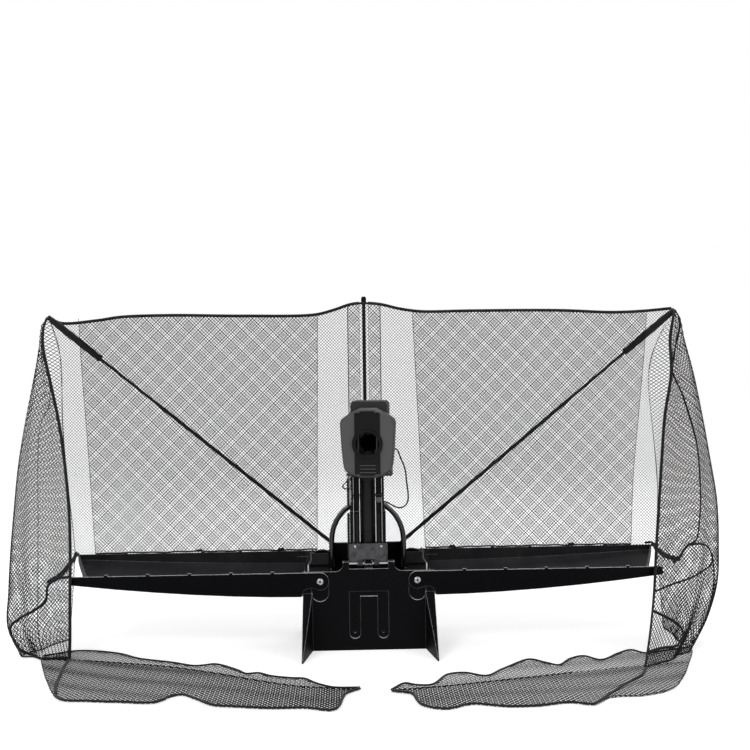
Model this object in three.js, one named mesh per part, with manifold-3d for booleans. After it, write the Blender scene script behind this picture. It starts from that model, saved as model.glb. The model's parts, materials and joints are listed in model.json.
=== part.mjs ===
// Table tennis robot with folding ball trays and a catch net.
// Millimetres, +Z up, +X to the right of a player who faces the robot, +Y away from that player.
// The origin is the middle of the base's underside. Right-hand pieces are drawn once and mirrored for the left.
import * as THREE from 'three';
import { mergeVertices } from 'three/addons/utils/BufferGeometryUtils.js';
import Module from 'manifold-3d';

const wasm = await Module();
wasm.setup();

// Clearances and counts shared by the whole robot
const gap = 0.3;
const runningGap = 0.3;
const overrun = 2;
const roundSteps = 22;
const smallSteps = 12;
const arcSteps = 5;
const tubeSteps = 16;
const half = 0.5;
const quarterTurn = Math.PI / 2;

// Base housing
const baseWidth = 336;
const baseDepth = 332;
const panelSetback = 58;
const gussetHeight = 148;
const gussetToe = 8;
const gussetInnerWidth = 24;
const gussetFrontThick = 3;
const panelHeight = 202;
const panelThick = 5;
const wallThick = 4;
const sideWallHeight = 132;
const platingThick = 3;
const baseFront = -baseDepth * half;
const baseBack = baseDepth * half;
const panelFace = -panelSetback;
const panelBack = panelFace + panelThick;
const halfBase = baseWidth * half;
const innerHalfBase = halfBase - wallThick;
const coverFront = baseBack - wallThick;

// Sunk channels of the front panel
const channelOuter = 50;
const channelWidth = 28;
const channelBottom = 30;
const channelTop = 150;
const channelBar = 12;
const channelDepth = 1.8;
const channelHoleRadius = 3;
const channelHoleHeight = 47;
const padRadius = 22;
const padHeight = 148;
const padDepth = 1.2;

// Tower hinge
const axleHeight = 218;
const axleSetback = 18;
const axleRadius = 4;
const knuckleRadius = 8;
const earInner = 50;
const earOuter = 66;
const earFoot = 86;
const earRound = 6;
const middleKnuckle = 10;
const outerKnuckleStart = 14;
const outerKnuckleEnd = 28;
const axleY = panelFace + axleSetback;
const earTop = axleHeight + knuckleRadius;
const saddleHeight = axleHeight - knuckleRadius - overrun;

// Feed well, disc and drive
const wellMargin = 1.5;
const wellWall = 3.5;
const wellFloor = 38;
const wellTop = 92;
const bowlTop = 134;
const bowlRim = 5;
const bowlLip = 4;
const shaftRadius = 4;
const discMargin = 4;
const discThick = 4;
const discLift = 1;
const fingerHeight = 16;
const fingerThick = 5;
const fingerCount = 5;
const coneRadius = 16;
const coneHeight = 22;
const gearTeeth = 32;
const pinionTeeth = 12;
const gearModule = 1.5;
const gearThick = 7;
const gearTop = 33;
const gearBacklash = 0.25;
const toothRootShare = 0.28;
const toothTipShare = 0.13;
const motorRadius = 17;
const motorHeight = 18;
const motorShaftRadius = 2.5;
const gearRadius = gearTeeth * gearModule * half;
const pinionRadius = pinionTeeth * gearModule * half;

// Ball lift and ducts
const ductRadius = 23.5;
const ductWall = 2;
const ductBore = ductRadius - ductWall;
const elbowBend = 26;
const elbowHeight = 64;
const elbowRun = 5.2;
const lowerDuctBottom = 216;
const lowerDuctTop = 340;
const upperDuctWall = 1.6;
const upperDuctBottom = 300;
const upperDuctTop = 478;
const ductFlange = 3;
const upperDuctBore = ductRadius + runningGap;
const upperDuctRadius = upperDuctBore + upperDuctWall;
const wellRadius = (coverFront - wellMargin - wellWall * 2 - gap - elbowRun - elbowBend) * half;
const wellY = coverFront - wellMargin - wellWall - wellRadius;
const discRadius = wellRadius - discMargin;

// Electronics and inlets
const boardLength = 100;
const boardWidth = 70;
const boardThick = 1.6;
const boardLift = 5;
const boardMargin = 14;
const boardY = 10;
const chipSize = 14;
const chipHeight = 6;
const postRadius = 3;
const socketWidth = 30;
const socketHeight = 14;
const socketDepth = 14;
const socketFlange = 4;
const socketWall = 2;
const socketLevel = 36;
const powerSocketStep = 1;
const socketPitch = 48;
const powerSocketX = -wellRadius - powerSocketStep;
const controlSocketX = powerSocketX - socketPitch;
const powerSocketWidth = 16;
const ventCount = 9;
const ventPitch = 12;
const ventWidth = 4;
const ventHeight = 60;
const ventBottom = 30;
const ventStart = 10;
const boardX = boardMargin + boardWidth * half - innerHalfBase;

// Hopper bridge behind the tower
const bridgeInset = 68;
const bridgeHalfWidth = halfBase - bridgeInset;
const bridgeTop = 236;
const bridgeThick = 6;
const bridgeEarRadius = 40;
const bridgeShoulderInset = 10;
const bridgeShoulder = halfBase - bridgeShoulderInset;
const bridgeShoulderTop = 209;
const endPlateThick = 3.5;
const endPlateFront = 49;
const endPlateTop = 240;
const endPlateBottom = 182;
const endPlateStep = 190;
const bridgeFront = baseBack - bridgeThick;

// Carry handle
const handleRadius = 7;
const handleInset = 5;
const handleHalfWidth = bridgeHalfWidth - handleInset;
const handleY = 41;
const handleStraightTop = 262;
const handleTop = 368;

// Trays
const trayPivotInset = 44;
const trayPivotX = halfBase - trayPivotInset;
const trayPivotHeight = 178;
const trayPivotRadius = 4;
const trayLugRadius = 23;
const trayBackLugRadius = 20;
const trayPlate = 3;
const traySkin = 2.5;
const trayTop = 201;
const trayBackTop = 214;
const trayInnerStep = 4;
const trayInner = halfBase + trayInnerStep;
const trayInnerBottom = 139;
const trayOuterBottom = 180;
const trayOuter = 755;
const trayBellyX = 480;
const trayEndFront = 713;
const trayBackOuter = 797;
const trayEndWall = 3;
const traySweepShare = 0.55;
const lugLowerEdge = 162;
const trayLipStep = 14;
const trayLipInner = trayPivotX + trayLipStep;
const trayLipSetback = 8;
const screwHeadRadius = 8.5;
const screwHeadHeight = 4.5;
const screwSocket = 3;
const clipWidth = 9;
const clipHeight = 4;
const clipPitch = 105;
const clipStart = 240;
const clipCount = 5;
const trayFrontBack = panelFace - gap;
const trayFront = trayFrontBack - trayPlate;
const trayLugFront = baseBack + gap * 2;
const trayBack = trayLugFront + trayPlate;

// Poles of the net
const poleSetback = 14;
const poleY = baseBack + poleSetback;
const poleFootInset = 20;
const poleFootX = bridgeHalfWidth - poleFootInset;
const poleFootHeight = 218;
const poleTubeRadius = 5;
const poleRodRadius = 4;
const poleHubRadius = 11;
const poleTubeLength = 640;
const poleRodStart = 560;
const poleLength = 1024;
const poleTipLength = 8;
const poleTipRadius = 7;
const poleSlope = 39.5 * Math.PI / 180;
const sleeveLength = 178;
const sleeveRadius = 7;
const sleeveBore = 5.3;
const centrePoleTop = 906;
const centrePoleRadius = 5;
const centreSocketHalf = 13;
const centreSocketBottom = 150;
const centreSocketBack = 6;
const centreSocketFloor = 6;
const capRadius = 7;
const capHeight = 10;

// Tower
const footPlateThick = 5;
const footPlateBottom = 222;
const footPlateTop = 268;
const footPlateHalf = 49.5;
const footPlateBand = 20;
const footPlateBandTop = 240;
const footPlateBandThick = 2;
const lowerMastHalf = 46;
const lowerMastTop = 351;
const lowerMastWall = 3;
const lowerMastBack = 32;
const lowerMastMouth = 19;
const mastGroove = 1;
const mastGrooveWidth = 2;
const mastGrooveInner = 28;
const mastGrooveOuter = 38;
const clampTabTop = 393;
const clampTabOuter = 40;
const knobRadius = 7;
const knobLength = 9;
const knobShank = 2.5;
const knobSlotDepth = 1;
const knobX = 29;
const knobHeight = 381;
const upperMastWall = 2.6;
const upperMastBottom = 290;
const upperMastTop = 439.7;
const upperMastMouth = 15;
const mastSlideGap = 0.4;
const conduitRadius = 3.5;
const conduitGroove = 0.7;
const conduitRib = 7;
const ribShare = 0.4;
const grooveShare = 0.8;
const conduitSetback = 12.7;
const conduitUpperSetback = 21.7;
const conduitBottom = 226;
const conduitTop = 345;
const conduitUpperBottom = 362;
const conduitUpperTop = 434;
const conduitClip = 4;
const conduitClipLow = 412;
const conduitClipHigh = 430;
const footPlateInset = 1;
const footPlateBack = axleY + knuckleRadius - footPlateInset;
const footPlateFront = footPlateBack - footPlateThick;
const lowerMastFront = footPlateBack + gap;
const upperMastHalf = lowerMastHalf - lowerMastWall - mastSlideGap;
const upperMastFront = lowerMastFront + lowerMastWall + mastSlideGap;
const upperMastBack = lowerMastBack - lowerMastWall - mastSlideGap;
const conduitY = lowerMastFront + conduitSetback;
const conduitUpperY = lowerMastFront + conduitUpperSetback;

// Head
const headPan = -6.5 * Math.PI / 180;
const headShift = 11;
const yokeLeft = 52;
const yokeThick = 6;
const yokeFront = -20;
const yokeBack = 30;
const armInner = 51;
const armThick = 4;
const armFront = -14;
const armBack = 22;
const armTop = 526;
const tiltHeight = 505;
const tiltPinRadius = 5;
const tiltPinEnd = 58;
const tiltKnobRadius = 12;
const tiltKnobLength = 12;
const tiltLobeSetback = 1;
const glandRadius = 4;
const glandLength = 7;
const glandY = 14;
const glandHeight = 508;
const coverHalf = 47;
const coverTop = 634;
const coverBottom = 474;
const coverY = -47;
const coverBackY = 42;
const coverWall = 3;
const coverChamfer = 6;
const coverDrop = 8;
const coverLipBottom = 596;
const coverNotchHalf = 16;
const coverNotchTop = 614;
const shellCentre = 529;
const shellBackY = -50;
const shellShoulderY = -85;
const shellFrontY = -95;
const shellWall = 3;
const shellTopRise = 92;
const shellDrop = 89;
const shellHalfWidth = 70;
const fasciaThick = 3;
const fasciaHalf = 32;
const fasciaRing = 39;
const outletRadius = 29.5;
const outletRingWall = 8;
const outletRingDepth = 5;
const outletRingBevel = 1;
const headBend = 30;
const headDuctEnd = -42;
const wheelY = -59.5;
const wheelRise = 50;
const wheelRadius = 31;
const wheelWidth = 22;
const wheelCrown = 3;
const wheelShaftRadius = 3;
const chassisInner = 22;
const chassisPlate = 3;
const chassisFront = -91;
const chassisTop = 606;
const chassisBottom = 454;
const chassisGate = 24;
const chassisInset = 1;
const wheelSlotHalf = 13;
const wheelSlotMargin = 3;
const throwMotorRadius = 12;
const motorWindowHalf = 9;
const throwMotorLength = 29;
const throwMotorStep = 2;

// Net
const netThick = 1.5;
const netBottom = 218;
const netTop = 868;
const netCentreTop = 899;
const netDip = 9;
const netStart = 15;
const backColumnCount = 6;
const backRowCount = 6;
const innerNetStart = 150;
const innerNetEnd = 770;
const innerColumnCount = 5;
const innerRowCount = 5;
const centreNetHalf = 46;
const centreNetBottom = 242;
const centreColumnCount = 1;
const centreRowCount = 6;
const centreRiseShare = 0.143;
const strand = 8;
const innerNetBack = poleY - sleeveRadius - gap;
const backNetFront = poleY + sleeveRadius + gap;
const clothThick = 2;
const clothFloor = 0.3;
const flapThick = 1.5;

// Finishes
const satinBlack = { color: 0x131315, roughness: 0.5, metalness: 0 };
const deepBlack = { color: 0x0a0a0b, roughness: 0.6, metalness: 0 };
const slateGrey = { color: 0x56565a, roughness: 0.5, metalness: 0.2 };
const steel = { color: 0xc4c6c8, roughness: 0.25, metalness: 1 };
const rubber = { color: 0x1a1a1b, roughness: 0.85, metalness: 0 };
const boardGreen = { color: 0x1d5b34, roughness: 0.6, metalness: 0 };
const netBlack = { color: 0x0d0d0f, roughness: 0.9, metalness: 0 };
const brass = { color: 0xb08d4a, roughness: 0.35, metalness: 1 };
const nylon = { color: 0xdcdcd6, roughness: 0.6, metalness: 0 };

const robot = new THREE.Group();

// Adds one named mesh to the group.
function add(name, geometry, finish, parent = robot) {
  const mesh = new THREE.Mesh(geometry, new THREE.MeshStandardMaterial(finish));
  mesh.name = name;
  parent.add(mesh);
  return mesh;
}

// Drops everything but position and merges shared corners.
function weld(geometry) {
  const bare = geometry.clone();
  bare.deleteAttribute('normal');
  bare.deleteAttribute('uv');
  return mergeVertices(bare, 1e-4);
}

// A closed geometry as a solid that can be joined and cut.
function solid(geometry) {
  const welded = weld(geometry);
  return new wasm.Manifold(new wasm.Mesh({
    numProp: 3,
    vertProperties: new Float32Array(welded.attributes.position.array),
    triVerts: new Uint32Array(welded.index.array),
  }));
}

// A solid as a geometry again.
function shown(body) {
  const mesh = body.getMesh();
  const geometry = new THREE.BufferGeometry();
  geometry.setAttribute('position', new THREE.BufferAttribute(new Float32Array(mesh.vertProperties), 3));
  geometry.setIndex(new THREE.BufferAttribute(new Uint32Array(mesh.triVerts), 1));
  geometry.computeVertexNormals();
  return geometry;
}

// The mirror image of a geometry across the plane x = 0.
function mirrored(geometry) {
  const copy = geometry.clone();
  copy.applyMatrix4(new THREE.Matrix4().makeScale(-1, 1, 1));
  const index = copy.index.array;
  for (let i = 0; i < index.length; i += 3) {
    const first = index[i];
    index[i] = index[i + 1];
    index[i + 1] = first;
  }
  copy.computeVertexNormals();
  return copy;
}

function union(...bodies) {
  return bodies.reduce((whole, body) => whole.add(body));
}

// A flat outline carried along one axis from low to high.
// The outline is (x, z) for the y axis, (y, z) for the x axis and (x, y) for the z axis.
function slab(axis, outline, low, high, curveSegments = arcSteps) {
  const shape = outline instanceof THREE.Shape ? outline : outlineShape(outline);
  const geometry = new THREE.ExtrudeGeometry(shape, { depth: high - low, bevelEnabled: false, curveSegments });
  const turn = new THREE.Matrix4();
  const x = new THREE.Vector3(1, 0, 0);
  const y = new THREE.Vector3(0, 1, 0);
  const z = new THREE.Vector3(0, 0, 1);
  if (axis === 'y') {
    turn.makeBasis(x, z, y.clone().negate());
    turn.setPosition(0, high, 0);
  } else if (axis === 'x') {
    turn.makeBasis(y, z, x);
    turn.setPosition(low, 0, 0);
  } else {
    turn.setPosition(0, 0, low);
  }
  geometry.applyMatrix4(turn);
  return solid(geometry);
}

function outlineShape(points) {
  return new THREE.Shape(points.map(([u, v]) => new THREE.Vector2(u, v)));
}

function rectangle(left, bottom, right, top) {
  return [[left, bottom], [right, bottom], [right, top], [left, top]];
}

function block(left, right, front, back, bottom, top) {
  return slab('z', rectangle(left, front, right, back), bottom, top);
}

// A round bar along one axis. The place is (x, z) for y, (y, z) for x and (x, y) for z.
function bar(axis, radius, low, high, place, segments = roundSteps) {
  const circle = new THREE.Shape();
  circle.absarc(place[0], place[1], radius, 0, Math.PI * 2, false);
  return slab(axis, circle, low, high, segments * half);
}

function pipe(axis, radius, bore, low, high, place, segments = roundSteps) {
  const hollow = bar(axis, bore, low - overrun, high + overrun, place, segments);
  return bar(axis, radius, low, high, place, segments).subtract(hollow);
}

// Joins rings of equally many points into one closed solid. Its ends are closed by a fan about their middle.
// A ribbon's rings run along one face and back along the other, so its ends are closed across.
function loft(rings, ribbon = false) {
  const count = rings[0].length;
  const points = rings.flat();
  const faces = [];
  const quad = (a, b, c, d) => faces.push(a, b, c, a, c, d);
  for (let row = 0; row < rings.length - 1; row += 1) {
    for (let i = 0; i < count; i += 1) {
      const next = (i + 1) % count;
      quad(row * count + i, row * count + next, (row + 1) * count + next, (row + 1) * count + i);
    }
  }
  const close = (row, first) => {
    const start = row * count;
    for (let i = 0; ribbon && i < count * half - 1; i += 1) {
      const corners = [i, i + 1, count - 2 - i, count - 1 - i].map((corner) => start + corner);
      quad(...(first ? corners.reverse() : corners));
    }
    if (ribbon) return;
    const middle = new THREE.Vector3();
    rings[row].forEach((point) => middle.addScaledVector(point, 1 / count));
    points.push(middle);
    for (let i = 0; i < count; i += 1) {
      const next = (i + 1) % count;
      faces.push(points.length - 1, start + (first ? next : i), start + (first ? i : next));
    }
  };
  close(0, true);
  close(rings.length - 1, false);
  const geometry = new THREE.BufferGeometry();
  const positions = points.flatMap((point) => point.toArray());
  geometry.setAttribute('position', new THREE.Float32BufferAttribute(positions, 3));
  geometry.setIndex(faces);
  return facingOut(geometry);
}

// Turns a closed geometry's faces outward, going by the sign of its volume.
function facingOut(geometry) {
  const place = geometry.attributes.position;
  const index = geometry.index.array;
  const corner = [new THREE.Vector3(), new THREE.Vector3(), new THREE.Vector3()];
  let volume = 0;
  for (let i = 0; i < index.length; i += 3) {
    corner.forEach((point, k) => point.fromBufferAttribute(place, index[i + k]));
    volume += corner[0].dot(corner[1].clone().cross(corner[2]));
  }
  if (volume < 0) {
    for (let i = 0; i < index.length; i += 3) {
      const first = index[i];
      index[i] = index[i + 1];
      index[i + 1] = first;
    }
  }
  return geometry;
}

// A round bar along a path from a list of { x, y, z, turn } stations, that drifts sideways where x is given.
function bentBar(stations, radius, segments = tubeSteps) {
  const rings = stations.map(({ x = 0, y, z, turn }) => {
    const ring = [];
    for (let i = 0; i < segments; i += 1) {
      const angle = i / segments * Math.PI * 2;
      const across = radius * Math.sin(angle);
      ring.push(new THREE.Vector3(
        x + radius * Math.cos(angle),
        y + across * Math.cos(turn),
        z + across * Math.sin(turn),
      ));
    }
    return ring;
  });
  return solid(loft(rings));
}

// A tube along a smooth curve through the points, with the step that suits its diameter.
function cable(points, radius, sides, steps) {
  const path = new THREE.CatmullRomCurve3(points.map(([x, y, z]) => new THREE.Vector3(x, y, z)));
  const section = new THREE.Shape();
  section.absarc(0, 0, radius, 0, Math.PI * 2, false);
  const geometry = new THREE.ExtrudeGeometry(section, {
    steps,
    extrudePath: path,
    bevelEnabled: false,
    curveSegments: sides * half,
  });
  return facingOut(weld(geometry));
}

// Base housing: panel with its hump, channels and pads, side walls, gusset feet, hinge ears and middle knuckle.
function panelOutline() {
  const shape = new THREE.Shape();
  shape.moveTo(-halfBase, 0);
  shape.lineTo(halfBase, 0);
  shape.lineTo(halfBase, panelHeight);
  shape.lineTo(earFoot, panelHeight);
  shape.quadraticCurveTo(earOuter + earRound, panelHeight, earOuter + half, saddleHeight + earRound);
  shape.lineTo(earOuter, earTop - earRound);
  shape.quadraticCurveTo(earOuter, earTop, earOuter - earRound, earTop);
  shape.lineTo(earInner, earTop);
  shape.lineTo(earInner, saddleHeight);
  shape.lineTo(-earInner, saddleHeight);
  shape.lineTo(-earInner, earTop);
  shape.lineTo(-earOuter + earRound, earTop);
  shape.quadraticCurveTo(-earOuter, earTop, -earOuter, earTop - earRound);
  shape.lineTo(-earOuter - half, saddleHeight + earRound);
  shape.quadraticCurveTo(-earOuter - earRound, panelHeight, -earFoot, panelHeight);
  shape.lineTo(-halfBase, panelHeight);
  return shape;
}

// A slot with a round lower end, as an outline in x and z.
function roundBottomSlot(centreX, radius, bottom, top) {
  const shape = new THREE.Shape();
  shape.moveTo(centreX + radius, top);
  shape.lineTo(centreX - radius, top);
  shape.lineTo(centreX - radius, bottom + radius);
  shape.absarc(centreX, bottom + radius, radius, Math.PI, Math.PI * 2, false);
  shape.closePath();
  return shape;
}

function baseHousing() {
  const sunk = (shape, depth) => slab('y', shape, panelFace - overrun, panelFace + depth);
  let body = slab('y', panelOutline(), panelFace, panelBack);
  const channelRadius = channelWidth * half;
  const channelCentre = channelOuter - channelRadius;
  for (const side of [-1, 1]) {
    body = body.subtract(sunk(
      roundBottomSlot(side * channelCentre, channelRadius, channelBottom, channelTop),
      channelDepth,
    ));
    body = body.subtract(sunk(
      roundBottomSlot(side * trayPivotX, padRadius, padHeight - padRadius, padHeight + padRadius),
      padDepth,
    ));
    body = body.subtract(bar('y', channelHoleRadius, panelFace - overrun, panelBack + overrun,
      [side * channelCentre, channelHoleHeight], smallSteps));
    body = body.subtract(bar('y', trayPivotRadius + runningGap, panelFace - overrun, panelBack + overrun,
      [side * trayPivotX, trayPivotHeight], smallSteps));
  }
  body = body.subtract(sunk(
    outlineShape(rectangle(-channelCentre, channelTop - channelBar, channelCentre, channelTop)),
    channelDepth,
  ));
  const earProfile = new THREE.Shape();
  earProfile.moveTo(panelFace, panelHeight - earFoot * half);
  earProfile.lineTo(axleY + knuckleRadius, panelHeight);
  earProfile.lineTo(axleY + knuckleRadius, axleHeight);
  earProfile.absarc(axleY, axleHeight, knuckleRadius, 0, quarterTurn, false);
  earProfile.lineTo(panelFace + earRound * half, earTop);
  earProfile.lineTo(panelFace, earTop - earRound * half);
  const ear = slab('x', earProfile, earInner, earOuter);
  const farEar = slab('x', earProfile, -earOuter, -earInner);
  const knuckle = union(
    bar('x', knuckleRadius, -middleKnuckle, middleKnuckle, [axleY, axleHeight]),
    block(-middleKnuckle, middleKnuckle, panelBack - half, axleY, saddleHeight - knuckleRadius, axleHeight),
  );
  body = union(body, ear, farEar, knuckle);
  body = body.subtract(bar('x', axleRadius + runningGap, -halfBase, halfBase, [axleY, axleHeight]));
  for (const side of [-1, 1]) {
    const wallSpan = [side * innerHalfBase, side * halfBase].sort((a, b) => a - b);
    body = body.add(block(wallSpan[0], wallSpan[1], panelBack - half, coverFront - gap, 0, sideWallHeight));
    const profile = outlineShape([
      [panelFace + half, 0], [panelFace + half, gussetHeight], [baseFront, gussetToe], [baseFront, 0],
    ]);
    const inner = halfBase - gussetInnerWidth;
    const wedgeSpan = [side * inner, side * halfBase].sort((a, b) => a - b);
    const plan = outlineShape([
      [side * inner, panelFace + half], [side * halfBase, panelFace + half],
      [side * halfBase, baseFront], [side * (halfBase - gussetFrontThick), baseFront],
    ]);
    body = body.add(slab('x', profile, wedgeSpan[0], wedgeSpan[1]).intersect(slab('z', plan, 0, gussetHeight)));
  }
  return shown(body);
}

function basePlate() {
  return shown(block(-innerHalfBase + gap, innerHalfBase - gap, panelBack + gap, coverFront - gap,
    0, platingThick));
}

// The rectangle that a socket needs in the rear cover.
function socketOutline(centreX, width, margin) {
  return rectangle(centreX - width * half - margin, socketLevel - margin,
    centreX + width * half + margin, socketLevel + socketHeight + margin);
}

function rearCover() {
  let body = slab('y', rectangle(-halfBase, 0, halfBase, sideWallHeight), coverFront, baseBack);
  for (let i = 0; i < ventCount; i += 1) {
    const x = ventStart + i * ventPitch;
    body = body.subtract(slab('y', rectangle(x, ventBottom, x + ventWidth, ventBottom + ventHeight),
      coverFront - overrun, baseBack + overrun));
  }
  for (const [x, width] of [[controlSocketX, socketWidth], [powerSocketX, powerSocketWidth]]) {
    body = body.subtract(slab('y', socketOutline(x, width, gap), coverFront - overrun, baseBack + overrun));
  }
  return shown(body);
}

// An inlet through the rear cover: a flange outside, and an open box that runs inside.
function inlet(centreX, width) {
  const outside = slab('y', socketOutline(centreX, width, socketFlange), baseBack + gap, baseBack + gap + socketWall);
  const through = slab('y', socketOutline(centreX, width, 0), baseBack - socketDepth, baseBack + gap + half);
  const mouth = slab('y', socketOutline(centreX, width, -socketWall), baseBack - socketDepth + socketWall,
    baseBack + socketWall * 2);
  return shown(outside.add(through).subtract(mouth));
}

// Hopper bowl: rim, sloping funnel, feed well with its floor and port, and the collar of the lift tube.
function funnelRings(margin) {
  const steps = 28;
  const halfReach = innerHalfBase - bowlRim;
  const front = panelBack + bowlRim;
  const back = coverFront - bowlRim;
  const upper = [];
  const lower = [];
  for (let i = 0; i < steps; i += 1) {
    const angle = i / steps * Math.PI * 2;
    const direction = new THREE.Vector2(Math.cos(angle), Math.sin(angle));
    const reachX = Math.abs(direction.x) > 1e-6 ? halfReach / Math.abs(direction.x) : Infinity;
    const middle = (front + back) * half;
    const reachY = Math.abs(direction.y) > 1e-6 ? (back - front) * half / Math.abs(direction.y) : Infinity;
    const reach = Math.min(reachX, reachY) + margin;
    upper.push(new THREE.Vector3(direction.x * reach, middle + direction.y * reach, bowlTop));
    lower.push(new THREE.Vector3(
      direction.x * (wellRadius + margin),
      wellY + direction.y * (wellRadius + margin),
      wellTop,
    ));
  }
  return [lower, upper];
}

function hopperBowl() {
  const rim = block(-innerHalfBase + gap, innerHalfBase - gap, panelBack + gap, coverFront - gap,
    bowlTop - bowlLip, bowlTop);
  const shell = solid(loft(funnelRings(wellWall)));
  const hollow = solid(loft(funnelRings(0)));
  const well = bar('z', wellRadius + wellWall, wellFloor, wellTop + half, [0, wellY]);
  const wellHollow = bar('z', wellRadius, wellFloor + wellWall, wellTop + overrun, [0, wellY]);
  const collar = bar('z', ductRadius + gap + wellWall, wellTop + ductWall, bowlTop + bowlLip, [0, 0]);
  const bore = bar('z', ductRadius + gap * 2, wellFloor, bowlTop + overrun * bowlLip, [0, 0]);
  const port = bar('y', ductBore, wellY - wellRadius - wellWall * 2, wellY - wellRadius + wellWall * 2,
    [0, elbowHeight]);
  const shaftHole = bar('z', shaftRadius + runningGap, wellFloor - overrun, wellTop, [0, wellY], smallSteps);
  let body = union(rim, shell, well);
  body = body.subtract(hollow).subtract(wellHollow);
  body = body.add(collar).subtract(bore).subtract(port).subtract(shaftHole);
  return shown(body);
}

// Stations of the lift tube: level out of the well, a quarter bend, then straight up.
function liftStations(start, end) {
  const steps = 5;
  const stations = [{ y: start, z: elbowHeight, turn: quarterTurn }];
  for (let i = 0; i <= steps; i += 1) {
    const angle = i / steps * quarterTurn;
    stations.push({
      y: elbowBend - elbowBend * Math.sin(angle),
      z: elbowHeight + elbowBend - elbowBend * Math.cos(angle),
      turn: quarterTurn - angle,
    });
  }
  stations.push({ y: 0, z: end, turn: 0 });
  return stations;
}

function liftElbow() {
  const start = wellY - wellRadius - wellWall - gap;
  const end = lowerDuctBottom - gap;
  const outer = bentBar(liftStations(start, end), ductRadius);
  const inner = bentBar(liftStations(start + overrun, end + overrun), ductBore);
  return shown(outer.subtract(inner));
}

// Feed disc: plate, middle cone, curved fingers and the shaft down to the gear.
function feedDisc() {
  const bottom = wellFloor + wellWall + discLift;
  const top = bottom + discThick;
  const cone = new THREE.CylinderGeometry(shaftRadius, coneRadius, coneHeight, roundSteps);
  cone.applyMatrix4(new THREE.Matrix4().makeRotationX(quarterTurn));
  cone.translate(0, wellY, top + coneHeight * half - half);
  let body = union(
    bar('z', discRadius, bottom, top, [0, wellY]),
    solid(cone),
    bar('z', shaftRadius, gearTop - gearThick, bottom + half, [0, wellY], smallSteps),
  );
  for (let i = 0; i < fingerCount; i += 1) {
    const reach = discRadius - fingerThick;
    const finger = new THREE.Shape();
    finger.absarc(reach * half, 0, reach * half, 0, Math.PI, false);
    finger.absarc(reach * half, 0, reach * half - fingerThick, Math.PI, 0, true);
    const geometry = new THREE.ExtrudeGeometry(finger, {
      depth: fingerHeight,
      bevelEnabled: false,
      curveSegments: arcSteps,
    });
    geometry.translate(0, 0, top - half);
    geometry.rotateZ(i / fingerCount * Math.PI * 2);
    geometry.translate(0, wellY, 0);
    body = body.add(solid(geometry));
  }
  return shown(body);
}

// Outline of a gear with straight-sided teeth; the first tooth or gap points at the start angle.
function gearOutline(teeth, radius, startAngle, centre) {
  const shape = new THREE.Shape();
  const pitch = Math.PI * 2 / teeth;
  const tip = radius + gearModule - gearBacklash;
  const root = radius - gearModule - gearBacklash;
  const corners = [[-toothRootShare, root], [-toothTipShare, tip], [toothTipShare, tip], [toothRootShare, root]];
  for (let i = 0; i < teeth; i += 1) {
    for (const [pitchShare, reach] of corners) {
      const angle = startAngle + (i + pitchShare) * pitch;
      const x = centre[0] + reach * Math.cos(angle);
      const y = centre[1] + reach * Math.sin(angle);
      if (i === 0 && pitchShare === -toothRootShare) shape.moveTo(x, y);
      else shape.lineTo(x, y);
    }
  }
  return shape;
}

const pinionX = gearRadius + pinionRadius;

function feedGear() {
  const wheel = slab('z', gearOutline(gearTeeth, gearRadius, 0, [0, wellY]), gearTop - gearThick, gearTop);
  return shown(wheel.subtract(bar('z', shaftRadius + gap, gearTop - gearThick - overrun, gearTop + overrun,
    [0, wellY], smallSteps)));
}

function feedPinion() {
  const halfPitch = Math.PI / pinionTeeth;
  const outline = gearOutline(pinionTeeth, pinionRadius, Math.PI + halfPitch, [pinionX, wellY]);
  return shown(slab('z', outline, gearTop - gearThick, gearTop)
    .subtract(bar('z', motorShaftRadius + gap, gearTop - gearThick - overrun, gearTop + overrun,
      [pinionX, wellY], smallSteps)));
}

function feedMotor() {
  return shown(union(
    bar('z', motorRadius, platingThick + gap, platingThick + gap + motorHeight, [pinionX, wellY]),
    bar('z', motorShaftRadius, platingThick + motorHeight, gearTop - half, [pinionX, wellY], smallSteps),
  ));
}

function controlBoard() {
  const left = boardX - boardWidth * half;
  const front = boardY - boardLength * half;
  const bottom = platingThick + gap + boardLift;
  const parts = [block(left, left + boardWidth, front, front + boardLength, bottom, bottom + boardThick)];
  for (const [shareX, shareY] of [[0.08, 0.06], [0.92, 0.06], [0.08, 0.94], [0.92, 0.94]]) {
    parts.push(bar('z', postRadius, platingThick + gap, bottom + half,
      [left + boardWidth * shareX, front + boardLength * shareY], smallSteps));
  }
  for (const [shareX, shareY] of [[0.3, 0.3], [0.65, 0.3], [0.45, 0.7]]) {
    const x = left + boardWidth * shareX;
    const y = front + boardLength * shareY;
    parts.push(block(x, x + chipSize, y, y + chipSize, bottom + boardThick - half,
      bottom + boardThick + chipHeight));
  }
  return shown(union(...parts));
}

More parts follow.
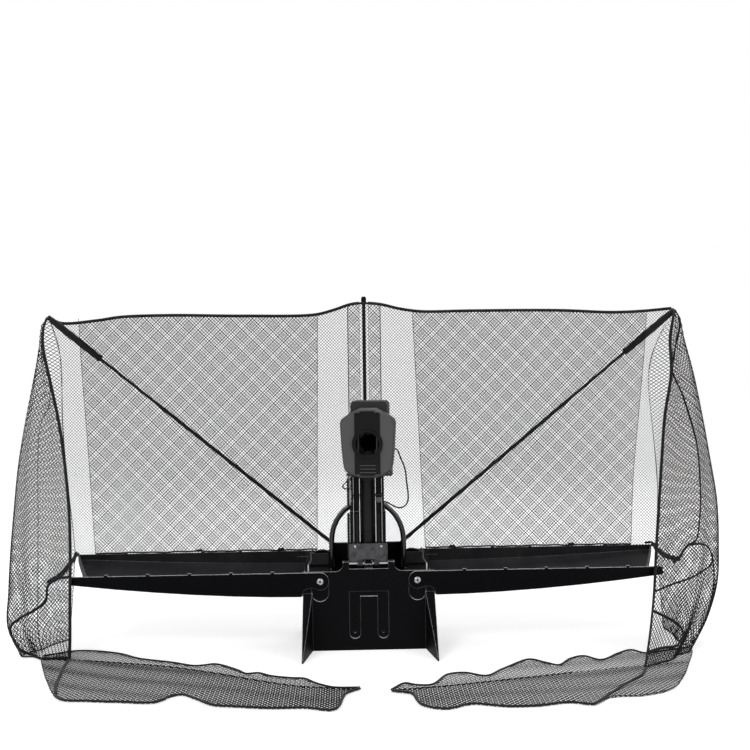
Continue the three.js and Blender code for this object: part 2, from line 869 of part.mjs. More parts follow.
// Rear bridge: back wall with shoulders and round ends, end plates, and the pins of the trays and poles.
function hopperBridge() {
  const bottom = bowlTop + gap;
  let body = slab('y', rectangle(-bridgeHalfWidth, bottom, bridgeHalfWidth, bridgeTop), bridgeFront, baseBack);
  body = body.add(slab('y', rectangle(-bridgeShoulder, trayPivotHeight, bridgeShoulder, bridgeShoulderTop),
    bridgeFront, baseBack));
  for (const side of [-1, 1]) {
    body = body.add(bar('y', bridgeEarRadius, bridgeFront, baseBack, [side * trayPivotX, trayPivotHeight]));
    const profile = outlineShape([
      [handleY - handleRadius, endPlateBottom], [bridgeFront + half, endPlateBottom],
      [bridgeFront + half, endPlateTop], [endPlateFront, endPlateTop],
      [endPlateFront, endPlateStep - gap], [handleY - handleRadius, endPlateStep - gap],
    ]);
    const span = [side * bridgeHalfWidth, side * (bridgeHalfWidth - endPlateThick)].sort((a, b) => a - b);
    body = body.add(slab('x', profile, span[0], span[1]));
    body = body.add(bar('y', trayPivotRadius, baseBack - half, trayBack + overrun,
      [side * trayPivotX, trayPivotHeight], smallSteps));
    body = body.add(bar('y', trayPivotRadius, baseBack - half, poleY + poleTubeRadius - gap,
      [side * poleFootX, poleFootHeight], smallSteps));
  }
  return shown(body);
}

// Carry handle: two legs and an arch that passes behind the mast.
function carryHandle() {
  const legBottom = endPlateStep;
  const rise = handleTop - handleStraightTop;
  const right = [];
  const archSteps = 9;
  for (let i = 0; i <= archSteps; i += 1) {
    const angle = i / archSteps * quarterTurn;
    right.push([handleHalfWidth * Math.cos(angle), handleStraightTop + rise * Math.sin(angle)]);
  }
  const left = right.slice(0, -1).reverse().map(([x, z]) => [-x, z]);
  const route = [[handleHalfWidth, legBottom], ...right, ...left, [-handleHalfWidth, legBottom]];
  const sides = 12;
  const rings = route.map(([x, z], i) => {
    const before = route[Math.max(i - 1, 0)];
    const after = route[Math.min(i + 1, route.length - 1)];
    const along = new THREE.Vector2(after[0] - before[0], after[1] - before[1]).normalize();
    const ring = [];
    for (let k = 0; k < sides; k += 1) {
      const angle = k / sides * Math.PI * 2;
      const across = handleRadius * Math.cos(angle);
      ring.push(new THREE.Vector3(
        x - along.y * across,
        handleY + handleRadius * Math.sin(angle),
        z + along.x * across,
      ));
    }
    return ring;
  });
  return loft(rings);
}

// Lower edge of a tray at the distance x from the middle.
function trayBottomAt(x) {
  const share = Math.min(Math.max((x - trayInner) / (trayOuter - trayInner), 0), 1);
  return trayInnerBottom + (trayOuterBottom - trayInnerBottom) * share ** 1.75;
}

const trayStations = [trayInner, 250, 340, 440, 540, 640, trayOuter, trayBackOuter + overrun];

function trayFrontOutline() {
  const shape = new THREE.Shape();
  shape.moveTo(trayPivotX, trayPivotHeight + trayLugRadius);
  shape.absarc(trayPivotX, trayPivotHeight, trayLugRadius, quarterTurn, quarterTurn * 3, false);
  shape.lineTo(halfBase - padRadius, lugLowerEdge - gap * 2);
  shape.quadraticCurveTo(halfBase, lugLowerEdge, trayInner - half, trayInnerBottom);
  trayStations.slice(0, -1).forEach((x) => shape.lineTo(x, trayBottomAt(x)));
  shape.lineTo(trayOuter, trayTop);
  return shape;
}

// A tray's section at x: a floor that rises in a quarter ellipse to an upright back wall.
function traySection(x, filled) {
  const steps = 6;
  const low = trayBottomAt(x);
  const front = trayFrontBack - half;
  const reach = trayBack - front;
  const sweep = (trayBackTop - low) * traySweepShare;
  const outer = [];
  const inner = [];
  for (let i = 0; i <= steps; i += 1) {
    const angle = i / steps * quarterTurn;
    const rise = 1 - Math.cos(angle);
    outer.push(new THREE.Vector3(x, front + reach * Math.sin(angle), low + sweep * rise));
    inner.push(new THREE.Vector3(
      x,
      front + (reach - traySkin) * Math.sin(angle),
      low + traySkin + (sweep - traySkin) * rise,
    ));
  }
  outer.push(new THREE.Vector3(x, trayBack, trayBackTop));
  inner.push(new THREE.Vector3(x, trayBack - traySkin, trayBackTop));
  if (filled) return [...outer, new THREE.Vector3(x, front, trayTop - half)];
  return [...outer, ...inner.reverse()];
}

function trayRight() {
  const front = slab('y', trayFrontOutline(), trayFront, trayFrontBack);
  const plan = (inset, start) => outlineShape([
    [start, trayFront - overrun], [trayEndFront - inset, trayFront - overrun],
    [trayBackOuter - inset, trayBack + overrun], [start, trayBack + overrun],
  ]);
  const skin = solid(loft(trayStations.map((x) => traySection(x, false)), true));
  const filled = solid(loft(trayStations.map((x) => traySection(x, true))));
  const inPlan = slab('z', plan(0, trayInner - overrun), 0, trayBackTop + overrun);
  const behindEnd = slab('z', plan(trayEndWall, trayInner - overrun), 0, trayBackTop + overrun);
  const trough = skin.intersect(inPlan);
  const endWall = filled.intersect(inPlan.subtract(behindEnd));
  const lip = block(trayLipInner, trayInner + half, panelBack + gap * 2, bridgeFront - overrun,
    trayInnerBottom, trayInnerBottom + traySkin);
  const backLug = union(
    bar('y', trayBackLugRadius, trayLugFront, trayBack, [trayPivotX, trayPivotHeight]),
    slab('y', rectangle(trayPivotX, trayPivotHeight - trayBackLugRadius, trayInner + padRadius,
      trayPivotHeight + trayBackLugRadius), trayLugFront, trayBack),
  );
  let body = union(front, trough, endWall, lip, backLug);
  for (let i = 0; i < clipCount; i += 1) {
    const x = clipStart + i * clipPitch;
    body = body.add(block(x, x + clipWidth, trayFront, trayFrontBack, trayTop - half, trayTop + clipHeight));
    body = body.add(block(x, x + clipWidth, trayBack - traySkin, trayBack, trayBackTop - half,
      trayBackTop + clipHeight));
  }
  const hole = bar('y', trayPivotRadius + runningGap, trayFront - overrun, trayBack + overrun,
    [trayPivotX, trayPivotHeight], smallSteps);
  return shown(body.subtract(hole));
}

function pivotScrewRight() {
  const headFace = trayFront - gap - screwHeadHeight;
  const profile = [[0, headFace + screwSocket]];
  profile.push([screwSocket, headFace + screwSocket], [screwSocket, headFace]);
  profile.push([screwHeadRadius - screwSocket, headFace], [screwHeadRadius, headFace + screwHeadHeight * half]);
  profile.push([screwHeadRadius, trayFront - gap], [trayPivotRadius, trayFront - gap]);
  profile.push([trayPivotRadius, panelBack + overrun], [0, panelBack + overrun]);
  const lathe = new THREE.LatheGeometry(profile.map(([r, y]) => new THREE.Vector2(r, y)), smallSteps);
  lathe.translate(trayPivotX, 0, trayPivotHeight);
  return shown(solid(lathe));
}

// Turns a bar drawn along z into its place on the slanting pole.
function alongPole(geometry) {
  const place = new THREE.Matrix4().makeRotationY(quarterTurn - poleSlope);
  place.setPosition(poleFootX, poleY, poleFootHeight);
  return geometry.applyMatrix4(place);
}

function poleTubeRight() {
  const hub = bar('y', poleHubRadius, trayBack + gap + overrun * 2, poleY + poleTubeRadius - gap,
    [poleFootX, poleFootHeight]);
  const bore = bar('y', trayPivotRadius + runningGap, trayBack, poleY + poleTubeRadius + overrun,
    [poleFootX, poleFootHeight], smallSteps);
  const tube = solid(alongPole(shown(bar('z', poleTubeRadius, poleTubeRadius, poleTubeLength, [0, 0], smallSteps))));
  const inside = solid(alongPole(shown(bar('z', poleRodRadius + runningGap, poleHubRadius + overrun,
    poleTubeLength + overrun, [0, 0], smallSteps))));
  return shown(hub.add(tube).subtract(bore).subtract(inside));
}

function poleRodRight() {
  const rod = bar('z', poleRodRadius, poleRodStart, poleLength - half, [0, 0], smallSteps);
  const tip = bar('z', poleTipRadius, poleLength - poleTipLength, poleLength, [0, 0], smallSteps);
  return alongPole(shown(rod.add(tip)));
}

function poleSleeveRight() {
  const end = poleLength - poleTipLength - gap;
  return alongPole(shown(pipe('z', sleeveRadius, sleeveBore, end - sleeveLength, end, [0, 0], smallSteps)));
}

function centrePoleSocket() {
  const backY = poleY + centrePoleRadius + gap + centreSocketBack;
  const body = block(-centreSocketHalf, centreSocketHalf, baseBack + gap, backY, centreSocketBottom, bridgeTop);
  return shown(body.subtract(bar('z', centrePoleRadius + gap, centreSocketBottom + centreSocketFloor - gap,
    bridgeTop + overrun, [0, poleY], smallSteps)));
}

function centrePole() {
  return shown(bar('z', centrePoleRadius, centreSocketBottom + centreSocketFloor, centrePoleTop, [0, poleY],
    smallSteps));
}

function centrePoleCap() {
  const profile = [
    [0, centrePoleTop + gap], [centrePoleRadius + gap, centrePoleTop + gap],
    [centrePoleRadius + gap, centrePoleTop - capHeight], [capRadius, centrePoleTop - capHeight],
    [capRadius, centrePoleTop + capHeight * half], [centrePoleRadius, centrePoleTop + capHeight],
    [0, centrePoleTop + capHeight],
  ];
  const lathe = new THREE.LatheGeometry(profile.map(([r, z]) => new THREE.Vector2(r, z)), smallSteps);
  lathe.rotateX(quarterTurn);
  lathe.translate(0, poleY, 0);
  return shown(solid(facingOut(weld(lathe))));
}

// Tower foot plate with its two outer knuckles round the axle.
function footPlate() {
  const corner = knuckleRadius * half;
  const outline = [
    [-footPlateHalf, footPlateBottom + corner], [-footPlateHalf + corner, footPlateBottom],
    [-outerKnuckleStart + gap, footPlateBottom], [-outerKnuckleStart + gap, earTop + overrun],
    [outerKnuckleStart - gap, earTop + overrun], [outerKnuckleStart - gap, footPlateBottom],
    [footPlateHalf - corner, footPlateBottom], [footPlateHalf, footPlateBottom + corner],
    [footPlateHalf, footPlateTop], [-footPlateHalf, footPlateTop],
  ];
  let body = slab('y', outline, footPlateFront, footPlateBack);
  body = body.add(slab('y', rectangle(-footPlateBand, earTop + overrun, footPlateBand, footPlateBandTop),
    footPlateFront - footPlateBandThick, footPlateFront + half));
  for (const side of [-1, 1]) {
    const span = [side * outerKnuckleStart, side * outerKnuckleEnd].sort((a, b) => a - b);
    body = body.add(bar('x', knuckleRadius, span[0], span[1], [axleY, axleHeight]));
  }
  return shown(body.subtract(bar('x', axleRadius + runningGap, -footPlateHalf - overrun,
    footPlateHalf + overrun, [axleY, axleHeight])));
}

function hingeAxle() {
  return shown(bar('x', axleRadius, -earOuter + overrun, earOuter - overrun, [axleY, axleHeight]));
}

// A channel open at the front, its lips turned in to the mouth, as an outline in x and y.
function channelProfile(halfWidth, front, back, thick, mouth) {
  return [
    [-halfWidth, front], [-mouth, front], [-mouth, front + thick], [-halfWidth + thick, front + thick],
    [-halfWidth + thick, back - thick], [halfWidth - thick, back - thick], [halfWidth - thick, front + thick],
    [mouth, front + thick], [mouth, front], [halfWidth, front], [halfWidth, back], [-halfWidth, back],
  ];
}

function lowerMast() {
  const profile = channelProfile(lowerMastHalf, lowerMastFront, lowerMastBack, lowerMastWall, lowerMastMouth);
  let body = slab('z', profile, footPlateBottom, lowerMastTop);
  body = body.add(block(lowerMastMouth, clampTabOuter, lowerMastFront, lowerMastFront + lowerMastWall,
    lowerMastTop - half, clampTabTop));
  for (const side of [-1, 1]) {
    for (const x of [mastGrooveInner, mastGrooveOuter]) {
      const left = side * x - mastGrooveWidth * half;
      body = body.subtract(block(left, left + mastGrooveWidth, lowerMastFront - overrun,
        lowerMastFront + mastGroove, footPlateTop, lowerMastTop - knuckleRadius));
    }
  }
  return shown(body.subtract(bar('y', knobShank + gap, lowerMastFront - overrun,
    lowerMastFront + lowerMastWall + overrun, [knobX, knobHeight], smallSteps)));
}

// A square flange that carries a duct inside its mast.
function ductWithFlange(radius, bore, bottom, top, flangeLow, halfWidth, front, back) {
  const body = union(
    bar('z', radius, bottom, top, [0, 0]),
    block(-halfWidth, halfWidth, front, back, flangeLow, flangeLow + ductFlange),
  );
  return shown(body.subtract(bar('z', bore, bottom - overrun, top + overrun, [0, 0])));
}

function lowerDuct() {
  return ductWithFlange(ductRadius, ductBore, lowerDuctBottom, lowerDuctTop, footPlateBottom,
    lowerMastHalf - lowerMastWall - gap, lowerMastFront + lowerMastWall + gap, lowerMastBack - lowerMastWall - gap);
}

function upperDuct() {
  return ductWithFlange(upperDuctRadius, upperDuctBore, upperDuctBottom, upperDuctTop,
    conduitClipHigh, upperMastHalf - upperMastWall - gap, upperMastFront + upperMastWall + gap,
    upperMastBack - upperMastWall - gap);
}

function upperMast() {
  const profile = channelProfile(upperMastHalf, upperMastFront, upperMastBack, upperMastWall, upperMastMouth);
  let body = slab('z', profile, upperMastBottom, upperMastTop);
  for (const low of [conduitClipLow, conduitClipHigh]) {
    body = body.add(block(-lowerMastHalf, -upperMastHalf + half, conduitUpperY - conduitRadius,
      conduitUpperY + conduitRadius, low, low + conduitClip));
  }
  return shown(body);
}

const conduitX = -lowerMastHalf - gap - conduitRadius;

// A ribbed hose that stands beside the mast: rib and groove rings one after the other, open from end to end.
function ribbedConduit(bottom, top, y) {
  const sides = 8;
  const pitches = Math.round((top - bottom) / conduitRib);
  const pitch = (top - bottom) / pitches;
  const rings = [];
  const ring = (z, radius) => {
    const points = [];
    for (let k = 0; k < sides; k += 1) {
      const angle = k / sides * Math.PI * 2;
      points.push(new THREE.Vector3(conduitX + radius * Math.cos(angle), y + radius * Math.sin(angle), z));
    }
    return points;
  };
  rings.push(ring(bottom, conduitRadius - conduitGroove));
  for (let i = 0; i < pitches; i += 1) {
    rings.push(ring(bottom + (i + ribShare) * pitch, conduitRadius));
    rings.push(ring(bottom + (i + grooveShare) * pitch, conduitRadius - conduitGroove));
  }
  rings.push(ring(top, conduitRadius - conduitGroove));
  const bore = bar('z', conduitRadius - conduitGroove * 2, bottom - overrun, top + overrun, [conduitX, y], sides);
  return shown(solid(loft(rings)).subtract(bore));
}

function lockKnob() {
  const face = lowerMastFront - gap - knobLength;
  const body = union(
    bar('y', knobRadius, face, lowerMastFront - gap, [knobX, knobHeight]),
    bar('y', knobShank, lowerMastFront - gap - half, upperMastFront - gap, [knobX, knobHeight], smallSteps),
  );
  return shown(body.subtract(slab('y', rectangle(knobX - knobRadius, knobHeight - gap * 2, knobX + knobRadius,
    knobHeight + gap * 2), face - overrun, face + knobSlotDepth)));
}

// Head yoke: ring on the mast's top, two arms with pivot holes, and the cable gland on the right arm.
// The ring is about the duct's axis, and the arms are about the head's middle.
function headYoke() {
  const bottom = upperMastTop + gap;
  const armOuter = armInner + armThick;
  let body = block(-yokeLeft, headShift + armOuter, yokeFront, yokeBack, bottom, bottom + yokeThick);
  for (const side of [-1, 1]) {
    const span = [headShift + side * armInner, headShift + side * armOuter].sort((a, b) => a - b);
    const profile = new THREE.Shape();
    profile.moveTo(armFront, bottom);
    profile.lineTo(armBack, bottom);
    profile.lineTo(armBack, armTop - tiltPinRadius);
    profile.lineTo(armBack - tiltPinRadius, armTop);
    profile.lineTo(armFront + tiltPinRadius, armTop);
    profile.lineTo(armFront, armTop - tiltPinRadius);
    body = body.add(slab('x', profile, span[0], span[1]));
  }
  body = body.add(bar('x', glandRadius, headShift + armOuter - half, headShift + armOuter + glandLength,
    [glandY, glandHeight]));
  body = body.subtract(bar('z', upperDuctRadius + gap * 2, bottom - overrun, bottom + yokeThick + overrun, [0, 0]));
  return shown(body.subtract(bar('x', tiltPinRadius + runningGap, headShift - armOuter - overrun,
    headShift + armOuter + overrun, [0, tiltHeight])));
}

function tiltKnob() {
  const start = tiltPinEnd + gap;
  let body = bar('x', tiltKnobRadius, -start - tiltKnobLength, -start, [0, tiltHeight]);
  const lobes = 8;
  const reach = tiltKnobRadius + tiltLobeSetback;
  for (let i = 0; i < lobes; i += 1) {
    const angle = i / lobes * Math.PI * 2;
    body = body.subtract(bar('x', tiltKnobRadius * half * half, -start - tiltKnobLength - overrun, -start + overrun,
      [reach * Math.cos(angle), tiltHeight + reach * Math.sin(angle)], 8));
  }
  return shown(body);
}

// Half of the head's face outline from the top down, as shares of its half width, rise and drop.
const faceShares = [
  [0.3, 0.97], [0.57, 0.87], [0.82, 0.75], [0.96, 0.66], [1, 0.56],
  [0.955, -0.11], [0.9, -0.56], [0.84, -0.77], [0.57, -0.9], [0.3, -0.97],
];

// The head's face outline at the distance y, drawn in by the inset.
function faceRing(y, inset) {
  const place = ([x, z]) => {
    const reach = z > 0 ? shellTopRise : shellDrop;
    return [x * (shellHalfWidth - inset), shellCentre + z * (reach - inset)];
  };
  const right = faceShares.map(place);
  const left = [...right].reverse().map(([x, z]) => [-x, z]);
  return [...right, ...left].map(([x, z]) => new THREE.Vector3(x, y, z));
}

function headFrontShell() {
  const chamfer = shellShoulderY - shellFrontY;
  const shoulder = chamfer * half;
  const outer = solid(loft([faceRing(shellFrontY, shoulder), faceRing(shellShoulderY, 0), faceRing(shellBackY, 0)]));
  const inner = solid(loft([
    faceRing(shellFrontY + shellWall, shoulder + shellWall), faceRing(shellShoulderY, shellWall),
    faceRing(shellBackY + overrun, shellWall),
  ]));
  const outlet = bar('y', outletRadius, shellFrontY - overrun, shellShoulderY, [0, shellCentre]);
  return shown(outer.subtract(inner).subtract(outlet));
}

// Middle band of the face, widened to a round field about the outlet.
function frontFascia() {
  const inset = (shellShoulderY - shellFrontY) * half;
  const top = shellCentre + (shellTopRise - inset) * faceShares[0][1] - overrun;
  const bottom = shellCentre - (shellDrop - inset) * faceShares[0][1] + overrun;
  const back = shellFrontY - gap;
  const body = union(
    slab('y', rectangle(-fasciaHalf * half - overrun, bottom, fasciaHalf * half + overrun, top),
      back - fasciaThick, back),
    slab('y', rectangle(-fasciaHalf, bottom + overrun * 2, fasciaHalf, top - overrun * 2),
      back - fasciaThick, back),
    bar('y', fasciaRing, back - fasciaThick, back, [0, shellCentre]),
  );
  return shown(body.subtract(bar('y', outletRadius, back - fasciaThick - overrun, back + overrun, [0, shellCentre])));
}

function outletRing() {
  const back = shellFrontY - gap - fasciaThick - gap;
  const front = back - outletRingDepth;
  const profile = [
    [outletRadius, back], [outletRadius, front + outletRingBevel], [outletRadius + outletRingBevel, front],
    [outletRadius + outletRingWall - overrun, front], [outletRadius + outletRingWall, front + overrun],
    [outletRadius + outletRingWall, back], [outletRadius, back],
  ];
  const lathe = new THREE.LatheGeometry(profile.map(([r, y]) => new THREE.Vector2(r, y)), roundSteps);
  lathe.translate(0, 0, shellCentre);
  return shown(solid(facingOut(weld(lathe))));
}

// Rear cover of the head: a box with chamfered upper corners, open below and in front but for a lip above the
// wheels, and with the two tilt pins.
function headRearCover() {
  const corner = coverWall * 2;
  const frame = (inset) => {
    const reach = coverHalf - inset;
    const top = coverTop - inset;
    return slab('y', [
      [-reach, coverBottom - overrun], [reach, coverBottom - overrun], [reach, top - coverDrop],
      [reach - coverChamfer, top], [-reach + coverChamfer, top], [-reach, top - coverDrop],
    ], coverY - overrun, coverBackY + overrun);
  };
  const outline = (inset, bottom) => [
    [coverY - overrun * (inset ? 1 : 0), bottom], [coverBackY - inset, bottom],
    [coverBackY - inset, coverTop - inset - corner], [coverBackY - inset - corner, coverTop - inset],
    [coverY - overrun * (inset ? 1 : 0), coverTop - inset],
  ];
  const cavity = slab('x', outline(coverWall, coverBottom - overrun), -coverHalf + coverWall, coverHalf - coverWall);
  let body = slab('x', outline(0, coverBottom), -coverHalf, coverHalf).subtract(cavity.intersect(frame(coverWall)));
  const lip = slab('y', rectangle(-coverHalf, coverLipBottom, coverHalf, coverTop), coverY, coverY + coverWall);
  body = body.add(lip.subtract(block(-coverNotchHalf, coverNotchHalf, coverY - overrun, coverY + coverWall + overrun,
    coverLipBottom - overrun, coverNotchTop))).intersect(frame(0));
  for (const side of [-1, 1]) {
    const span = [side * (coverHalf - half), side * tiltPinEnd].sort((a, b) => a - b);
    body = body.add(bar('x', tiltPinRadius, span[0], span[1], [0, tiltHeight]));
  }
  return shown(body);
}

// Sideways drift of the head's duct at y: none above the mast, and the head's whole shift at the wheels.
function headDriftAt(y) {
  return headShift * y / headDuctEnd;
}

// Stations of the head's duct: a quarter bend from upright to level, then straight to the wheels.
function headDuctStations(start, end) {
  const steps = 5;
  const bendStart = shellCentre - headBend;
  const stations = start < bendStart ? [{ y: 0, z: start, turn: 0 }] : [];
  for (let i = 0; i <= steps; i += 1) {
    const angle = i / steps * quarterTurn;
    const y = -headBend + headBend * Math.cos(angle);
    stations.push({ x: headDriftAt(y), y, z: bendStart + headBend * Math.sin(angle), turn: angle });
  }
  stations.push({ x: headDriftAt(end), y: end, z: shellCentre, turn: quarterTurn });
  return stations;
}

function headElbow() {
  const bottom = shellCentre - headBend;
  const outer = bentBar(headDuctStations(bottom, headDuctEnd), ductRadius);
  const inner = bentBar(headDuctStations(bottom - overrun, headDuctEnd - overrun), ductBore);
  const bracket = (side) => {
    const span = [
      headDriftAt(-headBend) + side * (ductRadius - ductWall), headShift + side * (coverHalf - coverWall - gap),
    ].sort((a, b) => a - b);
    return block(span[0], span[1], -headBend, -headBend + coverWall,
      shellCentre - coverWall, shellCentre + coverWall);
  };
  return shown(union(outer, bracket(-1), bracket(1)).subtract(inner));
}

// Chassis: a back plate that closes the front shell, with slots for the wheels and a hole for the balls,
// and two side plates that carry the wheels' shafts.
function headChassis() {
  const plateBack = coverY - gap;
  const plateFront = shellBackY + gap;
  const outer = chassisInner + chassisPlate;
  const slotReach = wheelRise + wheelRadius + wheelSlotMargin;
  const outline = faceRing(0, chassisInset).map((point) => [point.x, point.z]);
  let body = slab('y', outline, plateFront, plateBack);
  body = body.subtract(slab('y', rectangle(-wheelSlotHalf, shellCentre - slotReach, wheelSlotHalf,
    shellCentre + slotReach), plateFront - overrun, plateBack + overrun));
  body = body.subtract(bar('y', chassisGate, plateFront - overrun, plateBack + overrun, [0, shellCentre]));
  for (const height of [shellCentre - wheelRise, shellCentre + wheelRise]) {
    body = body.subtract(slab('y', rectangle(outer, height - motorWindowHalf,
      outer + throwMotorLength + throwMotorStep * 2, height + motorWindowHalf),
    plateFront - overrun, plateBack + overrun));
  }
  for (const side of [-1, 1]) {
    const span = [side * chassisInner, side * outer].sort((a, b) => a - b);
    body = body.add(block(span[0], span[1], chassisFront, plateBack - gap, chassisBottom, chassisTop));
  }
  for (const side of [-1, 1]) {
    body = body.subtract(bar('x', wheelShaftRadius + runningGap, -outer - overrun, outer + overrun,
      [wheelY, shellCentre + side * wheelRise], smallSteps));
  }
  return shown(body);
}

// Throwing wheel with a crowned tyre, and its shaft towards the motor.
function throwWheel(height) {
  const halfWidth = wheelWidth * half;
  const profile = [
    [0, -chassisInner - chassisPlate * half], [wheelShaftRadius, -chassisInner - chassisPlate * half],
    [wheelShaftRadius, -halfWidth * half], [wheelRadius * half, -halfWidth * half],
    [wheelRadius - wheelCrown * 2, -halfWidth * half], [wheelRadius - wheelCrown * 2, -halfWidth],
    [wheelRadius - wheelCrown, -halfWidth], [wheelRadius, 0], [wheelRadius - wheelCrown, halfWidth],
    [wheelRadius - wheelCrown * 2, halfWidth], [wheelRadius - wheelCrown * 2, halfWidth * half],
    [wheelShaftRadius, halfWidth * half], [wheelShaftRadius, chassisInner + chassisPlate],
    [0, chassisInner + chassisPlate],
  ];
  const lathe = new THREE.LatheGeometry(profile.map(([r, x]) => new THREE.Vector2(r, x)), tubeSteps);
  lathe.rotateZ(-quarterTurn);
  lathe.translate(0, wheelY, height);
  return shown(solid(facingOut(weld(lathe))));
}

function throwMotor(height) {
  const start = chassisInner + chassisPlate + gap;
  const end = start + throwMotorLength;
  return shown(union(
    bar('x', throwMotorRadius, start, end, [wheelY, height]),
    bar('x', throwMotorRadius * half, end - half, end + throwMotorStep, [wheelY, height], smallSteps),
  ));
}

// Free cables beside the mast: centre lines chosen by hand.
const cableRightRadius = 2;
const cableRightRoute = [
  [74.5, 5.6, 508], [77.5, 5.25, 508], [81.5, 4.9, 502], [85, 4.4, 492], [90, 3, 479], [96, 1, 465], [100.5, -2, 447],
  [102, -4, 430], [103.5, -6, 413], [106, -8, 392], [105, -8, 372], [97, -6, 359], [84, -4, 354], [68, -2, 359],
  [54, -1, 367], [45, -1, 371], [42.9, -1, 371],
];
const cableLeftRadius = 1.75;
const cableLeftRoute = [
  [-48.5, -4, 439.7], [-48.5, -4, 436], [-50, -4.5, 430], [-56, -5.5, 422], [-62.5, -6, 415], [-62.5, -5.5, 408.5],
  [-55, -4, 405.5], [-47, -3, 405], [-42.9, -3, 405],
];

// A flat net panel: an outline in x and z with a grid of gaps, each kept a strand inside the outline.
function netPanel(outline, area, gaps, front) {
  const [columns, rows] = gaps;
  const { left, rightAt, bottom, topAt } = area;
  const loops = [outline];
  for (let column = 0; column < columns; column += 1) {
    for (let row = 0; row < rows; row += 1) {
      loops.push([[0, 0], [0, 1], [1, 1], [1, 0]].map(([u, v]) => {
        const shareZ = (row + v) / rows;
        const shareX = (column + u) / columns;
        const level = bottom + (netTop - strand - bottom) * shareZ;
        const x = left + (rightAt(level) - left) * shareX;
        const z = bottom + (topAt(x) - bottom) * shareZ;
        return [x + (u ? -strand : strand) * half, z + (v ? -strand : strand) * half];
      }));
    }
  }
  const turn = new THREE.Matrix4().makeBasis(
    new THREE.Vector3(1, 0, 0),
    new THREE.Vector3(0, 0, 1),
    new THREE.Vector3(0, -1, 0),
  );
  turn.setPosition(0, front + netThick, 0);
  const panel = new wasm.CrossSection(loops, 'EvenOdd').extrude(netThick);
  return shown(panel.transform(turn.toArray()));
}

const poleTipX = poleFootX + poleLength * Math.cos(poleSlope);
const netShoulder = 820;

// Outer edge of the net at the height z: it draws in below the pole's tip.
function netEdgeAt(z) {
  const share = Math.max((z - netBottom) / (netTop - netBottom), 0);
  const draw = poleTipX - netShoulder;
  return netShoulder - netDip * 2 + netDip * 2 * share + draw * share ** 5;
}

// Top hem at the distance x: it hangs between the centre pole and the pole's tip.
function netTopAt(x) {
  const share = Math.min(Math.max(x / poleTipX, 0), 1);
  const centreRise = (netCentreTop - netTop) * Math.max(1 - share / centreRiseShare, 0);
  return netTop - netDip * Math.sin(Math.PI * share ** 4) + centreRise;
}

function netOutline(start, endAt, bottom) {
  const steps = 8;
  const right = [];
  const top = [];
  for (let i = 0; i <= steps; i += 1) {
    const z = bottom + (netTop - bottom) * i / steps;
    right.push([endAt(z), z]);
  }
  const end = endAt(netTop);
  for (let i = 1; i <= steps; i += 1) {
    const x = end + (start - end) * i / steps;
    top.push([x, netTopAt(x)]);
  }
  return [[start, bottom], ...right, ...top];
}

function netBackRight() {
  const outline = netOutline(netStart, netEdgeAt, netBottom);
  return netPanel(outline, {
    left: netStart + strand * half,
    rightAt: (z) => netEdgeAt(z) - strand * half,
    bottom: netBottom + strand * half,
    topAt: (x) => netTopAt(x) - strand,
  }, [backColumnCount, backRowCount], backNetFront);
}

function netInnerRight() {
  const outline = netOutline(innerNetStart, () => innerNetEnd, netBottom);
  return netPanel(outline, {
    left: innerNetStart + strand * half,
    rightAt: () => innerNetEnd - strand * half,
    bottom: netBottom + strand * half,
    topAt: (x) => netTopAt(x) - strand,
  }, [innerColumnCount, innerRowCount], innerNetBack - netThick);
}

function netCentre() {
  const outline = rectangle(-centreNetHalf, centreNetBottom, centreNetHalf, netCentreTop);
  return netPanel(outline, {
    left: -centreNetHalf + strand * half,
    rightAt: () => centreNetHalf - strand * half,
    bottom: centreNetBottom + strand * half,
    topAt: () => netCentreTop - strand * half,
  }, [centreColumnCount, centreRowCount], innerNetBack - netThick);
}

// Side curtain: at each height its section runs from the net's outer edge, out round the fold, to the front hem.
// Places are shares: fold and hem across from the net's shoulder, and forward from the poles.
const curtainTop = 848;
const curtainReach = 108;
const curtainForward = 370;
const curtainFolds = 3;
const curtainFoldDepth = 9;
const curtainShares = [
  { height: 1, fold: [0.57, 0.02], hem: [0.48, 0.05] },
  { height: 0.93, fold: [0.64, 0.07], hem: [0.39, 0.09] },
  { height: 0.815, fold: [0.77, 0.15], hem: [0.2, 0.18] },
  { height: 0.685, fold: [0.86, 0.21], hem: [-0.07, 0.29] },
  { height: 0.555, fold: [0.94, 0.26], hem: [-0.3, 0.39] },
  { height: 0.413, fold: [1, 0.33], hem: [-0.48, 0.52] },
  { height: 0.283, fold: [0.97, 0.39], hem: [-0.55, 0.63] },
  { height: 0.177, fold: [0.8, 0.47], hem: [-0.57, 0.71] },
  { height: 0.083, fold: [0.6, 0.56], hem: [-0.75, 0.84] },
  { height: 0, fold: [0.35, 0.65], hem: [-1.05, 1] },
];

